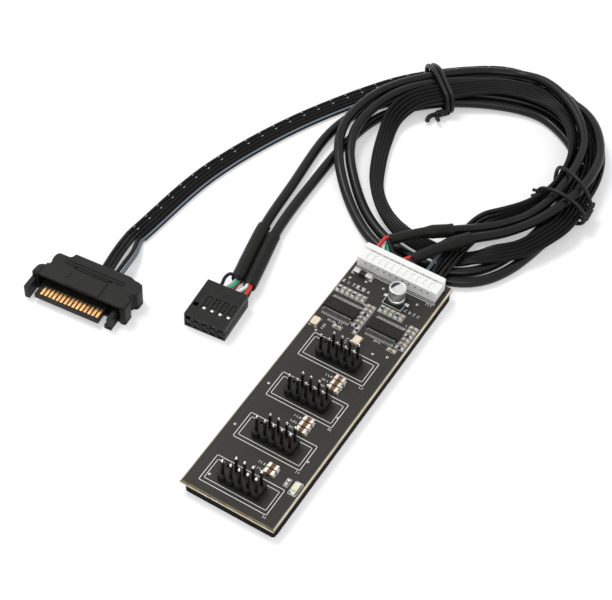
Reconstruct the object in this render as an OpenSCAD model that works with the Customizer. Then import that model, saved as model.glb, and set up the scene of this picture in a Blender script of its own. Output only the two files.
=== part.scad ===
// Internal USB header hub: a small board that turns one nine-pin header into four, with
// two round signal cables, a five-wire power ribbon, their plugs and two wire ties.
// Millimetres. +X runs across the board, +Y towards the wires, +Z up. The origin is on the
// surface that the hub rests on, under the middle of the board.

/* [Board] */
// Width of the circuit board
board_w = 28.5; // [28:0.5:34]
// Length of the circuit board
board_l = 95.3; // [95:0.1:110]
// Thickness of the circuit board
board_t = 1.6; // [1.2:0.1:2]
// Depth of the V-score that is left on each snapped edge
score_d = 0.35; // [0.2:0.05:0.45]
// Thickness of the foam pad
foam_t = 2.8; // [2:0.1:4]
// Foam set back from the left edge
foam_inset_side = 0.9; // [0.2:0.1:1.5]
// Foam set back from both ends
foam_inset_end = 0.4; // [0.2:0.1:1.5]
// Corner radius of the foam
foam_r = 1.5; // [0.5:0.1:3]

/* [Pin headers] */
// Distance between neighbouring pins
pin_pitch = 2.54; // [2.5:0.01:2.6]
// Pin columns in a header
pin_cols = 5; // [5:1:6]
// Side of a square pin
pin_side = 0.64; // [0.5:0.01:0.7]
// Height of the pin tips above the board
pin_h = 8.5; // [6:0.1:10]
// Length of the tapered pin tip
tip_h = 0.6; // [0.3:0.1:1]
// Height of a header base
base_h = 2.54; // [2:0.01:3]
// Corner chamfer of each cell of a header base
cell_chamfer = 0.6; // [0.3:0.05:0.8]
// Height of the standing lugs under a header base
lug_h = 0.4; // [0.2:0.1:0.6]
// Pin tails under the board
tail_h = 0.9; // [0.5:0.1:1.4]
// Number of headers
headers = 4; // [1:1:4]
// Distance from one header to the next
header_pitch = 16.16; // [14:0.02:18]
// Centre of the first header along the board
header_y = 8.4; // [6:0.1:8.6]
// Centre of the headers across the board
header_x = -0.15; // [-2:0.05:2]
// Diameter of the plated holes for pins
hole_d = 1.02; // [0.95:0.01:1.2]

/* [Wire header] */
// Places in the wire header
wire_n = 11; // [11:1:12]
// Distance between wires
wire_pitch = 2; // [1.9:0.05:2.1]
// Centre of the wire header across the board
wafer_x = -0.2; // [-0.4:0.05:0.4]
// Front face of the wafer along the board
wafer_y = 40.1; // [39.5:0.1:40.2]
// Depth of the wafer
wafer_d = 4.1; // [3.9:0.1:4.5]
// Height of the wafer above the board
wafer_h = 3.8; // [3.6:0.1:4.5]
// Overhang of the wafer past the last pin centre
wafer_end = 2.7; // [2.4:0.1:3]
// Walls of the wafer
wafer_wall = 0.6; // [0.4:0.05:0.7]
// Side of a wafer pin
wafer_pin = 0.5; // [0.4:0.05:0.6]
// Height of the wires' centre line above the board
wire_z = 2.5; // [2.4:0.1:2.6]
// Depth of the crimp housing behind the wafer
plug_flange_d = 1.7; // [1.2:0.1:2]
// Height of the crimp housing above the board
plug_flange_h = 4.6; // [4.4:0.1:5]

/* [Small parts] */
// Length of a hub chip body
chip_l = 9.9; // [9:0.1:10.5]
// Width of a hub chip body
chip_w = 3.9; // [3.5:0.1:4.4]
// Thickness of a hub chip body
chip_h = 1.5; // [1:0.1:1.8]
// Leads on each side of a chip
chip_leads = 14; // [8:1:14]
// Lead pitch of a chip
chip_pitch = 0.635; // [0.6:0.005:0.65]
// Distance across the lead tips of a chip
chip_span = 6.2; // [5.8:0.1:6.6]
// Length of a crystal
crystal_l = 3.2; // [2.8:0.1:3.4]
// Width of a crystal
crystal_w = 2.5; // [2:0.1:2.8]
// Diameter of the can capacitor
can_d = 5; // [4:0.1:5.2]
// Height of the can capacitor above its base
can_h = 4.8; // [3:0.1:7]
// Length of a port capacitor
cap_l = 3; // [2.6:0.1:3.4]
// Width of a port capacitor
cap_w = 1.6; // [1.2:0.05:1.7]
// Height of a port capacitor
cap_h = 1.3; // [0.8:0.1:1.6]
// Length of a small chip resistor or capacitor
smd_l = 1.6; // [1.2:0.1:1.8]
// Width of a small chip resistor or capacitor
smd_w = 0.8; // [0.6:0.05:0.9]

/* [Cables] */
// Diameter of a round signal cable
cable_d = 3; // [2.6:0.1:3.1]
// Diameter of a signal wire
lead_d = 1.1; // [0.8:0.05:1.15]
// Diameter of a loose power wire
power_d = 1.2; // [1:0.05:1.25]
// Distance between the wires of the power ribbon
ribbon_pitch = 1.3; // [1.2:0.05:1.35]
// Thickness of the power ribbon
ribbon_t = 1.4; // [1.2:0.05:1.45]
// Wall of a shrink sleeve
sleeve_wall = 0.35; // [0.2:0.05:0.4]
// Diameter of the wire in a tie
tie_d = 1.2; // [0.8:0.1:1.3]

/* [Plugs] */
// Width of the two-row crimp plug
crimp_w = 12.7; // [12.7:0.1:13.5]
// Length of the two-row crimp plug
crimp_l = 14; // [12:0.1:15]
// Height of the two-row crimp plug
crimp_h = 5.08; // [5.08:0.02:6]
// Turn of both plugs about the vertical, in degrees
plug_turn = 5; // [0:1:8]
// Width of the drive power plug at its front
drive_w = 29.6; // [29:0.1:31]
// Height of the drive power plug
drive_h = 7; // [6.5:0.1:8]
// Contacts in the drive power plug
drive_n = 15; // [15:1:15]
// Contact pitch in the drive power plug
drive_pitch = 1.27; // [1.2:0.01:1.3]

/* [Hidden] */
$fn = 48;
// Clearances
fit = 0.05;
seat = 0.02;
gap = 0.3;
eps = 0.01;

// Board levels
foam_w = board_w - foam_inset_side;
foam_l = board_l - 2 * foam_inset_end;
foam_x = foam_inset_side / 2;
board_z = foam_t;
top_z = foam_t + board_t;

// Pin fields
header_w = pin_cols * pin_pitch;
row_y = pin_pitch / 2;
col_x = [for (i = [0 : pin_cols - 1]) (i - (pin_cols - 1) / 2) * pin_pitch];
header_ys = [for (i = [0 : headers - 1]) header_y - i * header_pitch];
tail_z = board_z - tail_h;
pocket_d = tail_h + gap;
pocket_margin = 1;

// Wire header
wire_x = [for (i = [0 : wire_n - 1]) wafer_x + (i - (wire_n - 1) / 2) * wire_pitch];
wafer_w = (wire_n - 1) * wire_pitch + 2 * wafer_end;
wire_level = top_z + wire_z;
wafer_tail_y = wafer_y + 1.4;
wafer_back = wafer_y + wafer_d;
slot_w = 1;
slot_front = wafer_wall + 0.2;
slot_l = 2.4;
tongue_front = wafer_y + 2;
tongue_z = top_z + wafer_wall + fit;
tongue_top = top_z + wafer_h - wafer_wall - fit;
flange_y = wafer_back + fit;
flange_back = flange_y + plug_flange_d;
contact_w = 1;
contact_l = 1.9;
cavity_w = contact_w + 2 * fit;
wire_bore_w = 1.5;
wire_bore_h = 2.9;

// Chips and crystals
chip_x = [-8.2, 5.85];
chip_y = 23.6;
chip_lift = 0.1;
lead_t = 0.2;
lead_w = 0.28;
foot_l = 0.6;
lead_z = chip_lift + chip_h / 2;
crystal_at = [[-12.1, 16], [1, 16.3]];
crystal_base_h = 0.5;
crystal_lid_h = 0.3;
crystal_rim = 0.2;

// Can capacitor
can_x = 2.9;
can_y = 35.1;
can_base_w = can_d + 0.3;
can_base_h = 0.7;
can_base_chamfer = 1;
can_groove = 0.35;
can_foot_w = 0.7;
can_foot_l = 1.2;
can_foot_t = 0.15;

// Fuse, port capacitors and lamp
fuse_x = -9.6;
fuse_y = 37.85;
fuse_l = 5.8;
fuse_w = 1.6;
fuse_h = 1.1;
fuse_end = 1.9;
port_cap_x = 4.1;
port_cap_pitch = 1.9;
port_cap_lead = [6.4, 6.4, 7.8];
port_cap_count = [3, 3, 2];
cap_end = 0.5;
lamp_x = 12.2;
lamp_y = -33.9;
lamp_l = 3.2;
lamp_w = 1.6;
lamp_h = 1;
lamp_end = 0.5;

// Small chips, as [x, y, turn]
smd_h = 0.5;
smd_end = 0.35;
smd_step = 1.6;
smd_columns = [[-1.75, 20.9, 6], [12.05, 20.6, 6]];
smd_rows = [[-12.9, 30.1, 6], [1, 30.1, 5]];
smd_single = [[10.6, 18.7, 0], [-1, 19.4, 90], [-6.1, 17.7, 0], [9.5, -33.4, 90], [-7.6, 33.3, 0]];
smd_all = concat(
    [for (c = smd_columns) for (i = [0 : c.z - 1]) [c.x, c.y + i * smd_step, 0]],
    [for (r = smd_rows) for (i = [0 : r.z - 1]) [r.x + i * smd_step, r.y, 90]],
    smd_single);

// Crimp plug on the signal cables, in its own frame at the middle of its underside
crimp_x = -38.15;
crimp_y = 5.8;
crimp_hole = 1.5;
crimp_window_l = 3.2;
crimp_window_y = -4.6;
crimp_latch_l = 3.6;
crimp_contact = 1.3;
crimp_contact_l = 9;
crimp_wall_y = 2.5;
crimp_back = crimp_l / 2;

// Drive power plug, in its own frame at the middle of its front edge
drive_x = -72.06;
drive_y = -12;
drive_wall = 1.2;
drive_cover_t = 1;
drive_back = 11.1;
drive_tongue = [-12.1, 8.4];
tongue_reach = 4.3;
tongue_t = 1.5;
tongue_top_z = 3;
drive_contact_w = 0.8;
drive_contact_t = 0.25;
drive_contact_x = -10.28;
drive_wires = [0.6, 1.9, 3.2, 4.9, 6.4];
drive_wire_z = 4.4;

// Cord sections
cord_sides = 8;
sleeve_bore = cable_d / 2 + 0.12;
mouth_bore = lead_d * 1.35;
sleeve_r = sleeve_bore + sleeve_wall;
mouth_r = mouth_bore + sleeve_wall;
tie_r = tie_d / 2;

// Routes, from the wire header to each plug. The ribbon's fourth number is its tilt about
// its own line, in degrees: 90 stands it on edge.
route_a = [[-9, 51.5, 7], [-2, 60, 6.5], [4, 66, 5.5], [11, 73, 4.5],
    [16, 78.5, 4.8], [20.3, 84, 6], [23, 91.5, 7.2], [23.8, 100, 7.6], [23, 110, 7.2],
    [20.5, 119.5, 6.5], [14.5, 127.5, 7], [6.5, 133.5, 7], [-1.5, 137, 6],
    [-9.5, 138, 3.8], [-17, 135, 3.6], [-24.5, 129, 4.4], [-33.5, 120, 4.6],
    [-41, 109, 5], [-44.5, 98, 5], [-44.5, 86, 5], [-39, 74, 4.2], [-28.5, 62.5, 2],
    [-16, 53.5, 1.6], [-3.5, 50.5, 1.6], [7.5, 50.5, 1.6], [17.5, 55.5, 1.6],
    [24, 66, 1.6], [28, 83, 2.4], [28.5, 96, 3], [27.5, 109, 2.3], [22.5, 119.5, 1.6],
    [14, 126, 1.6], [2, 130, 1.6], [-13, 126, 2], [-29, 115.5, 2.8], [-43, 101, 1.6],
    [-48, 84, 1.6], [-46, 58, 1.6], [-44, 40, 2], [-39.5, 20, 3]];
route_b = [[0, 48.5, 7], [5, 57.5, 7], [10, 65.5, 6], [16.5, 73.5, 5],
    [22, 81, 5.8], [26, 88.5, 7.4], [28.5, 98, 7.6], [28.8, 107.5, 7.2], [27, 117, 6.5],
    [21.5, 126.5, 6], [14, 133, 4.7], [5, 135.5, 3.6], [-5, 134.5, 3.4], [-15, 131, 3.4],
    [-23.5, 125, 4], [-31, 118, 4.6], [-37, 109, 5.4], [-40.5, 99, 5.2], [-41, 88.5, 5],
    [-38, 79, 4], [-31, 70, 2.2], [-22, 61.5, 1.6], [-12.5, 56, 1.6], [-3, 53.8, 1.6],
    [7, 53.8, 1.6], [15.5, 59, 1.6], [21, 69, 1.6], [24.3, 83.5, 2.4], [25, 96, 3],
    [24.2, 107, 2.5], [21, 115.5, 1.6], [13.5, 122.5, 1.6], [2, 126.5, 1.6],
    [-12, 122.5, 2], [-26.5, 112.5, 2.8], [-38, 100, 1.6], [-41.5, 84, 1.6],
    [-41.5, 62, 1.6], [-40, 41, 2], [-35.3, 19.5, 3]];
route_ribbon = [[7.5, 66, 2.8, 0], [7.8, 71, 1.6, 0], [9.5, 76, 2.6, 30], [13, 80.5, 3.8, 75],
    [17.5, 87, 4.5, 90], [20.5, 94.5, 4.9, 90], [21, 103, 5, 90], [20, 112, 5.7, 75],
    [15.5, 121, 6.8, 50], [8, 128, 6.2, 25], [-1.5, 130.5, 5.6, 0], [-11.5, 128, 5.6, 0],
    [-20, 121.5, 5.6, 0], [-27, 114.5, 5.4, -10], [-32, 108, 5.1, -15],
    [-34, 99.5, 4.4, -40], [-32, 90, 3.6, -50], [-28.5, 80, 3.6, -50], [-24, 71, 3.4, -50],
    [-17, 64, 2.8, -35], [-9, 60.5, 1.8, -15], [0, 59.8, 1.2, -5], [8, 60, 1.4, -8],
    [13.5, 62.5, 2.9, -20], [18.5, 66.5, 4, 0], [23.5, 72, 4, 0], [27, 79, 4.4, 0],
    [29.6, 87, 5.1, 0], [29.4, 98, 5.3, 0], [28.2, 109, 4.5, 0], [25, 118.5, 4, 0],
    [18.5, 128.5, 3, 10], [5.5, 138, 1, 0], [-7, 140, 0.8, 0], [-18, 137, 1, 0],
    [-32.5, 123.5, 2.2, 0], [-45, 110, 0.8, 0], [-60, 81, 0.8, 0], [-70, 50, 0.8, 0],
    [-73.5, 18, 0.8, 0]];

// Steps of the curve between two route points
steps = 2;
path_a = curve(route_a, steps);
path_b = curve(route_b, steps);
path_ribbon = curve(route_ribbon, steps);
last_a = len(path_a) - 1;
last_b = len(path_b) - 1;
last_ribbon = len(path_ribbon) - 1;

// Where each jacket starts, and where the sleeves end, counted in curve steps
jacket_start = 3;
jacket_end = 0;
sleeve_step = [3, 5];
sleeve_lead = 0.95;
plug_sleeve_steps = 2;

// A smooth curve through the points of a route
function spline(a, b, c, d, t) = 0.5 * (2 * b + (c - a) * t + (2 * a - 5 * b + 4 * c - d) * t * t
    + (3 * b - a - 3 * c + d) * t * t * t);
function curve(p, n) = let (m = len(p) - 1) concat(
    [for (i = [0 : m - 1]) for (k = [0 : n - 1])
        spline(i == 0 ? 2 * p[0] - p[1] : p[i - 1], p[i], p[i + 1],
            i == m - 1 ? 2 * p[m] - p[m - 1] : p[i + 2], k / n)], [p[m]]);
function closed_curve(p, n) = let (m = len(p))
    [for (i = [0 : m - 1]) for (k = [0 : n - 1])
        spline(p[(i + m - 1) % m], p[i], p[(i + 1) % m], p[(i + 2) % m], k / n)];
function part_of(p, from, to) = [for (i = [from : to]) p[i]];
function xyz(p) = [p.x, p.y, p.z];
function tilt_of(p) = len(p) > 3 ? p[3] : 0;
function unit(v) = v / norm(v);

// Sweep frames: the ring's first axis points to the side, its second up
function along(p, i, closed) = let (m = len(p)) closed
    ? unit(xyz(p[(i + 1) % m]) - xyz(p[(i + m - 1) % m]))
    : unit(xyz(p[min(i + 1, m - 1)]) - xyz(p[max(i - 1, 0)]));
function side_axis(p, i, ref, closed) = unit(cross(along(p, i, closed), ref));
function ring_at(p, i, ring, ref, closed) = let (
        s = side_axis(p, i, ref, closed),
        u = cross(s, along(p, i, closed)),
        a = tilt_of(p[i]))
    [for (q = ring) xyz(p[i]) + (s * cos(a) - u * sin(a)) * q.x + (s * sin(a) + u * cos(a)) * q.y];
function round_ring(r) = [for (k = [0 : cord_sides - 1])
    r * [cos((k + 0.5) * 360 / cord_sides), sin((k + 0.5) * 360 / cord_sides)]];
function flat_ring(w, t) = let (c = t / 4)
    [[w / 2, t / 2 - c], [w / 2 - c, t / 2], [c - w / 2, t / 2], [-w / 2, t / 2 - c],
        [-w / 2, c - t / 2], [c - w / 2, -t / 2], [w / 2 - c, -t / 2], [w / 2, c - t / 2]];
function skin(m, n, base, inward) = [for (i = [0 : m - 2]) for (k = [0 : n - 1]) let (
        a = base + i * n + k,
        b = base + i * n + (k + 1) % n)
    each inward ? [[a, a + n, b + n], [a, b + n, b]] : [[a, b, b + n], [a, b + n, a + n]]];

// A solid swept along a path, with one ring for all of it or one ring for each point
module sweep(path, ring, ref = [0, 0, 1], closed = false) {
    m = len(path);
    n = len(ring);
    wrap = [for (k = [0 : n - 1]) let (a = (m - 1) * n, b = (k + 1) % n) each
        [[a + k, a + b, b], [a + k, b, k]]];
    caps = [[for (k = [0 : n - 1]) n - 1 - k], [for (k = [0 : n - 1]) (m - 1) * n + k]];
    polyhedron(
        [for (i = [0 : m - 1]) each ring_at(path, i, ring, ref, closed)],
        concat(skin(m, n, 0, false), closed ? wrap : caps), convexity = 10);
}

// A hollow tube swept along a path, with a bore radius for each point and one wall
module sweep_tube(path, bores, wall) {
    m = len(path);
    n = cord_sides;
    ends = [for (k = [0 : n - 1]) let (j = (k + 1) % n) each [
        [k, m * n + k, m * n + j, j],
        [(m - 1) * n + k, (m - 1) * n + j, (2 * m - 1) * n + j, (2 * m - 1) * n + k]]];
    polyhedron(concat(
        [for (i = [0 : m - 1]) each ring_at(path, i, round_ring(bores[i] + wall), [0, 0, 1], false)],
        [for (i = [0 : m - 1]) each ring_at(path, i, round_ring(bores[i]), [0, 0, 1], false)]),
        concat(skin(m, n, 0, false), skin(m, n, m * n, true), ends), convexity = 10);
}

// Plain shapes
module block(x, y, z, w, l, h) {
    translate([x - w / 2, y - l / 2, z]) cube([w, l, h]);
}

module rounded(w, l, r) {
    hull() for (x = [r - w / 2, w / 2 - r]) for (y = [r - l / 2, l / 2 - r])
        translate([x, y]) circle(r);
}

module chamfered(w, l, c) {
    polygon([[c - w / 2, -l / 2], [w / 2 - c, -l / 2], [w / 2, c - l / 2], [w / 2, l / 2 - c],
        [w / 2 - c, l / 2], [c - w / 2, l / 2], [-w / 2, l / 2 - c], [-w / 2, c - l / 2]]);
}

// A side outline, x by z, drawn along Y
module along_y(y, l) {
    translate([0, y + l / 2, 0]) rotate([90, 0, 0]) linear_extrude(l) children();
}

// An end outline, y by z, drawn along X
module along_x(x, l) {
    translate([x - l / 2, 0, 0]) rotate([90, 0, 90]) linear_extrude(l) children();
}

// Foam pad, with a shallow pocket where the pin tails press in
module foam_pad() {
    color("#2a2a2c") difference() {
        translate([foam_x, 0, 0]) linear_extrude(foam_t) rounded(foam_w, foam_l, foam_r);
        for (y = header_ys) translate([header_x, y, foam_t - pocket_d]) linear_extrude(pocket_d + eps)
            square([header_w + pocket_margin, 2 * pin_pitch + pocket_margin], center = true);
        block(wafer_x, wafer_tail_y, foam_t - pocket_d, wafer_w - wafer_end, 2 * pocket_margin,
            pocket_d + eps);
    }
}

// Board section, with the bevels that the V-scores leave
module board_outline(w) {
    s = score_d;
    b = board_t / 3;
    polygon([[s - w / 2, board_z], [w / 2 - s, board_z], [w / 2, board_z + b],
        [w / 2, top_z - b], [w / 2 - s, top_z], [s - w / 2, top_z],
        [-w / 2, top_z - b], [-w / 2, board_z + b]]);
}

module circuit_board() {
    color("#35363a") difference() {
        intersection() {
            along_y(0, board_l + 1) board_outline(board_w);
            along_x(0, board_w + 1) board_outline(board_l);
        }
        for (i = [0 : headers - 1]) for (x = col_x) for (s = [-1, 1]) if (!is_key(x, s))
            translate([header_x + x, header_ys[i] + s * row_y, board_z - eps])
                cylinder(h = board_t + 2 * eps, d = hole_d, $fn = 24);
        for (x = wire_x) translate([x, wafer_tail_y, board_z - eps])
            cylinder(h = board_t + 2 * eps, d = hole_d, $fn = 24);
    }
}

// The key is the empty place at the left end of the back row
function is_key(x, s) = s > 0 && x == col_x[0];

module header_base(i) {
    lug_w = pin_pitch / 2;
    color("#1b1b1d") translate([header_x, header_ys[i], top_z]) difference() {
        union() {
            translate([0, 0, lug_h]) linear_extrude(base_h - lug_h) for (x = col_x)
                translate([x, 0]) chamfered(pin_pitch, 2 * pin_pitch, cell_chamfer);
            for (x = [col_x[0], col_x[pin_cols - 1]])
                block(x, 0, 0, lug_w, 2 * pin_pitch - 2 * cell_chamfer, lug_h);
        }
        for (x = col_x) for (s = [-1, 1]) block(x, s * row_y, -eps, pin_side + 2 * seat,
            pin_side + 2 * seat, base_h + 2 * eps);
    }
}

// A pin's side outline: a straight shank with a tapered tip at both ends
module pin_outline(x, z0, z1) {
    h = pin_side / 2;
    t = h / 2;
    polygon([[x - t, z0], [x + t, z0], [x + h, z0 + t], [x + h, z1 - tip_h], [x + t, z1],
        [x - t, z1], [x - h, z1 - tip_h], [x - h, z0 + t]]);
}

module header_pins(i) {
    color("#c9a24a") translate([header_x, header_ys[i], 0]) difference() {
        intersection() {
            along_y(0, 3 * pin_pitch) for (x = col_x) pin_outline(x, tail_z, top_z + pin_h);
            along_x(0, header_w + pin_pitch) for (s = [-1, 1])
                pin_outline(s * row_y, tail_z, top_z + pin_h);
        }
        block(col_x[0], row_y, 0, pin_pitch - pin_side, pin_pitch - pin_side, 2 * (top_z + pin_h));
    }
}

// White side-entry wafer: a shell open to the rear, slotted over each pin
module wire_header() {
    inner = wafer_w - 2 * wafer_wall;
    color("#f4f4f0") difference() {
        block(wafer_x, wafer_y + wafer_d / 2, top_z, wafer_w, wafer_d, wafer_h);
        translate([wafer_x - inner / 2, wafer_y + wafer_wall, top_z + wafer_wall])
            cube([inner, wafer_d, wafer_h - 2 * wafer_wall]);
        for (x = wire_x) {
            translate([x - slot_w / 2, wafer_y + slot_front, top_z + wafer_h - wafer_wall - eps])
                cube([slot_w, slot_l, wafer_wall + 2 * eps]);
            block(x, wafer_y, wire_level - wafer_pin / 2 - seat, wafer_pin + 2 * seat, 2 * wafer_wall + eps,
                wafer_pin + 2 * seat);
            block(x, wafer_tail_y, top_z - eps, wafer_pin + 2 * seat, wafer_pin + 2 * seat,
                wafer_wall + 2 * eps);
        }
    }
}

// Right-angle pins: a tail through the board and an arm towards the crimp housing
module wire_header_pins() {
    h = wafer_pin / 2;
    arm = tongue_front + contact_l - wafer_y;
    color("#c9a24a") for (x = wire_x) along_x(x, wafer_pin)
        polygon([[wafer_tail_y - h, tail_z], [wafer_tail_y + h, tail_z],
            [wafer_tail_y + h, wire_level - h], [wafer_y + arm, wire_level - h],
            [wafer_y + arm, wire_level + h], [wafer_y, wire_level + h], [wafer_y, wire_level - h],
            [wafer_tail_y - h, wire_level - h]]);
}

// White crimp housing: a tongue inside the wafer, a flange behind it, one cavity per wire
module wire_plug() {
    tongue_w = wafer_w - 2 * wafer_wall - 2 * fit;
    tongue_l = flange_y - tongue_front + eps;
    color("#f4f4f0") difference() {
        union() {
            translate([wafer_x - tongue_w / 2, tongue_front, tongue_z])
                cube([tongue_w, tongue_l, tongue_top - tongue_z]);
            translate([wafer_x, flange_y + plug_flange_d / 2, top_z + fit])
                linear_extrude(plug_flange_h - fit) chamfered(wafer_w, plug_flange_d, 0.3);
        }
        for (x = wire_x) {
            block(x, tongue_front + contact_l / 2, wire_level - cavity_w / 2, cavity_w,
                contact_l + 2 * fit, cavity_w);
            block(x, tongue_front + contact_l / 2, wire_level, slot_w / 2, slot_l / 2, wafer_h);
            translate([x - wire_bore_w / 2, tongue_front + contact_l, wire_level - wire_bore_h / 2])
                cube([wire_bore_w, wafer_d + plug_flange_d, wire_bore_h]);
        }
    }
}

// Box contacts round the wafer's pins, each with a crimp barrel behind it
module wire_plug_contacts() {
    color("#b9bcc0") for (x = wire_x) difference() {
        block(x, tongue_front + contact_l / 2, wire_level - contact_w / 2, contact_w, contact_l, contact_w);
        block(x, tongue_front + contact_l / 2, wire_level - wafer_pin / 2 - fit, wafer_pin + 2 * fit,
            contact_l + 1, wafer_pin + 2 * fit);
    }
}

// A moulded body's outline: drafted above and below a band where the leads leave
module moulded(w, h) {
    d = 0.12;
    b = lead_t / 2;
    m = h / 2;
    polygon([[d - w / 2, 0], [w / 2 - d, 0], [w / 2, m - b], [w / 2, m + b], [w / 2 - d, h],
        [d - w / 2, h], [-w / 2, m + b], [-w / 2, m - b]]);
}

module hub_chip(x) {
    mark_d = 0.9;
    mark_in = 0.9;
    color("#1c1d20") translate([x, chip_y, top_z + chip_lift]) difference() {
        intersection() {
            along_y(0, chip_w + 1) moulded(chip_l, chip_h);
            along_x(0, chip_l + 1) moulded(chip_w, chip_h);
        }
        translate([mark_in - chip_l / 2, mark_in - chip_w / 2, chip_h - 0.08])
            cylinder(h = 1, d = mark_d, $fn = 24);
    }
}

module hub_chip_leads(x) {
    a = chip_w / 2;
    b = chip_span / 2;
    k = foot_l;
    z = lead_z;
    t = lead_t;
    first = -(chip_leads - 1) / 2 * chip_pitch;
    color("#c7cacd") translate([x, chip_y, top_z]) for (i = [0 : chip_leads - 1]) for (s = [0, 180])
        rotate(s) along_x(first + i * chip_pitch, lead_w)
            polygon([[a, z - t / 2], [b - k - t, z - t / 2], [b - k, 0], [b, 0], [b, t],
                [b - k + t / 2, t], [b - k - t / 2, z + t / 2], [a, z + t / 2]]);
}

module crystal_bases() {
    color("#3a3228") for (p = crystal_at) translate([p.x, p.y, top_z]) linear_extrude(crystal_base_h)
        chamfered(crystal_w, crystal_l, 0.2);
}

module crystal_lids() {
    w = crystal_w - 2 * crystal_rim;
    l = crystal_l - 2 * crystal_rim;
    color("#e9e2c4") for (p = crystal_at) translate([p.x, p.y, top_z + crystal_base_h])
        linear_extrude(crystal_lid_h) chamfered(w, l, 0.3);
}

// Aluminium can, rolled in above its base and rounded at the top
module can_capacitor() {
    r = can_d / 2;
    e = 0.35;
    g = can_groove;
    color("#e4e6e8") translate([can_x, can_y, top_z + can_base_h]) rotate_extrude()
        polygon([[0, 0], [r, 0], [r, 2 * g], [r - g, 3 * g], [r, 4 * g], [r, can_h - e],
            [r - 0.3 * e, can_h - 0.3 * e], [r - e, can_h], [0, can_h]]);
}

module can_capacitor_base() {
    w = can_base_w / 2;
    c = can_base_chamfer;
    color("#191919") translate([can_x, can_y, top_z + can_foot_t]) linear_extrude(can_base_h - can_foot_t)
        polygon([[-w, -w], [w, -w], [w, w - c], [w - c, w], [c - w, w], [-w, w - c]]);
}

module can_capacitor_feet() {
    reach = can_base_w / 2 + can_foot_l / 2;
    color("#d5d7d9") for (s = [-1, 1])
        block(can_x + s * (reach - can_foot_l / 2), can_y, top_z, can_foot_l, can_foot_w, can_foot_t);
}

// A two-ended chip: its body, or the caps on its two ends
module chip_body(l, w, h, end) {
    block(0, 0, 0, l - 2 * end, w - 2 * seat, h - seat);
}

module chip_ends(l, w, h, end) {
    for (s = [-1, 1]) block(s * (l - end) / 2, 0, 0, end, w, h);
}

module input_fuse() {
    color("#232323") translate([fuse_x, fuse_y, top_z]) chip_body(fuse_l, fuse_w, fuse_h, fuse_end);
}

module input_fuse_ends() {
    color("#d5d7d9") translate([fuse_x, fuse_y, top_z]) chip_ends(fuse_l, fuse_w, fuse_h, fuse_end);
}

module at_port_caps() {
    for (i = [0 : min(headers, len(port_cap_count)) - 1]) for (k = [0 : port_cap_count[i] - 1])
        translate([port_cap_x, header_ys[i] - port_cap_lead[i] - k * port_cap_pitch, top_z]) children();
}

module port_capacitors() {
    color("#b79a72") at_port_caps() chip_body(cap_l, cap_w, cap_h, cap_end);
}

module port_capacitor_ends() {
    color("#d9dadb") at_port_caps() chip_ends(cap_l, cap_w, cap_h, cap_end);
}

module at_small_chips() {
    for (p = smd_all) translate([p.x, p.y, top_z]) rotate(p.z) children();
}

module small_chips() {
    color("#5b4a3a") at_small_chips() chip_body(smd_l, smd_w, smd_h, smd_end);
}

module small_chip_ends() {
    color("#d9dadb") at_small_chips() chip_ends(smd_l, smd_w, smd_h, smd_end);
}

module status_lamp() {
    color("#e8e6c8") translate([lamp_x, lamp_y, top_z]) rotate(90)
        chip_body(lamp_l, lamp_w, lamp_h, lamp_end);
}

module status_lamp_ends() {
    color("#d9dadb") translate([lamp_x, lamp_y, top_z]) rotate(90)
        chip_ends(lamp_l, lamp_w, lamp_h / 2, lamp_end);
}

// Cords
module signal_cable(path, last) {
    color("#2b2b2d") sweep(part_of(path, jacket_start, last - jacket_end), round_ring(cable_d / 2));
}

module power_ribbon() {
    color("#2b2b2d") sweep(path_ribbon, flat_ring(4 * ribbon_pitch + ribbon_t, ribbon_t));
}

// Shrink sleeve at the header: narrow over the wires, wide over the jacket
module header_sleeve(path) {
    color("#3a3a3c") sweep_tube(part_of(path, 0, sleeve_step.y),
        [for (i = [0 : sleeve_step.y]) i < sleeve_step.x ? mouth_bore : sleeve_bore], sleeve_wall);
}

module plug_sleeve(path, last) {
    end = xyz(path[last]);
    run = unit(end - xyz(path[last - 1]));
    color("#3a3a3c") sweep_tube(concat(part_of(path, last - plug_sleeve_steps, last), [end + 2 * run]),
        [for (i = [0 : plug_sleeve_steps + 1]) sleeve_bore], sleeve_wall);
}

// A wire's centre inside a sleeve: one of four places round the sleeve's line
function quad(path, i, k) = let (
        s = side_axis(path, i, [0, 0, 1], false),
        u = cross(s, along(path, i, false)))
    xyz(path[i]) + (lead_d / 2 + seat) * (s * (k % 2 == 0 ? -1 : 1) + u * (k < 2 ? 1 : -1));

// Where a wire bends into its sleeve: a mitre, so that the four wires keep their spacing
function mouth_point(path, x, k) = let (
        run = along(path, 0, false),
        normal = unit(run + unit(xyz(path[0]) - [x, flange_back + gap, wire_level])),
        q = quad(path, 0, k))
    q - run * (sleeve_lead + (q - xyz(path[0])) * normal / (run * normal));

// Signal wires: from the crimp housing, through the narrow sleeve, to the jacket
module header_wire(path, x, middle, k) {
    back = tongue_front + contact_l + gap;
    level = wire_level + (k < 2 ? 1 : -1) * (lead_d / 2 + seat);
    run = along(path, jacket_start, false);
    sweep(concat([[x, back, wire_level], [x, flange_back + gap, level], mouth_point(path, middle, k)],
        [for (i = [0 : jacket_start]) quad(path, i, k) - (i == jacket_start ? gap : 0) * run]),
        round_ring(lead_d / 2));
}

// Signal wires at the crimp plug: from the end of the jacket into one of its cavities
module crimp_wire(path, last, col, row, k) {
    z = crimp_row_z(row);
    a = to_crimp([col_x[col], crimp_contact_l - crimp_back + gap, z]);
    b = to_crimp([col_x[col], crimp_back + gap, z]);
    run = along(path, last, false);
    end = quad(path, last, k);
    sweep([end + gap * run, end + 3 * run, b, a], round_ring(lead_d / 2));
}

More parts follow.
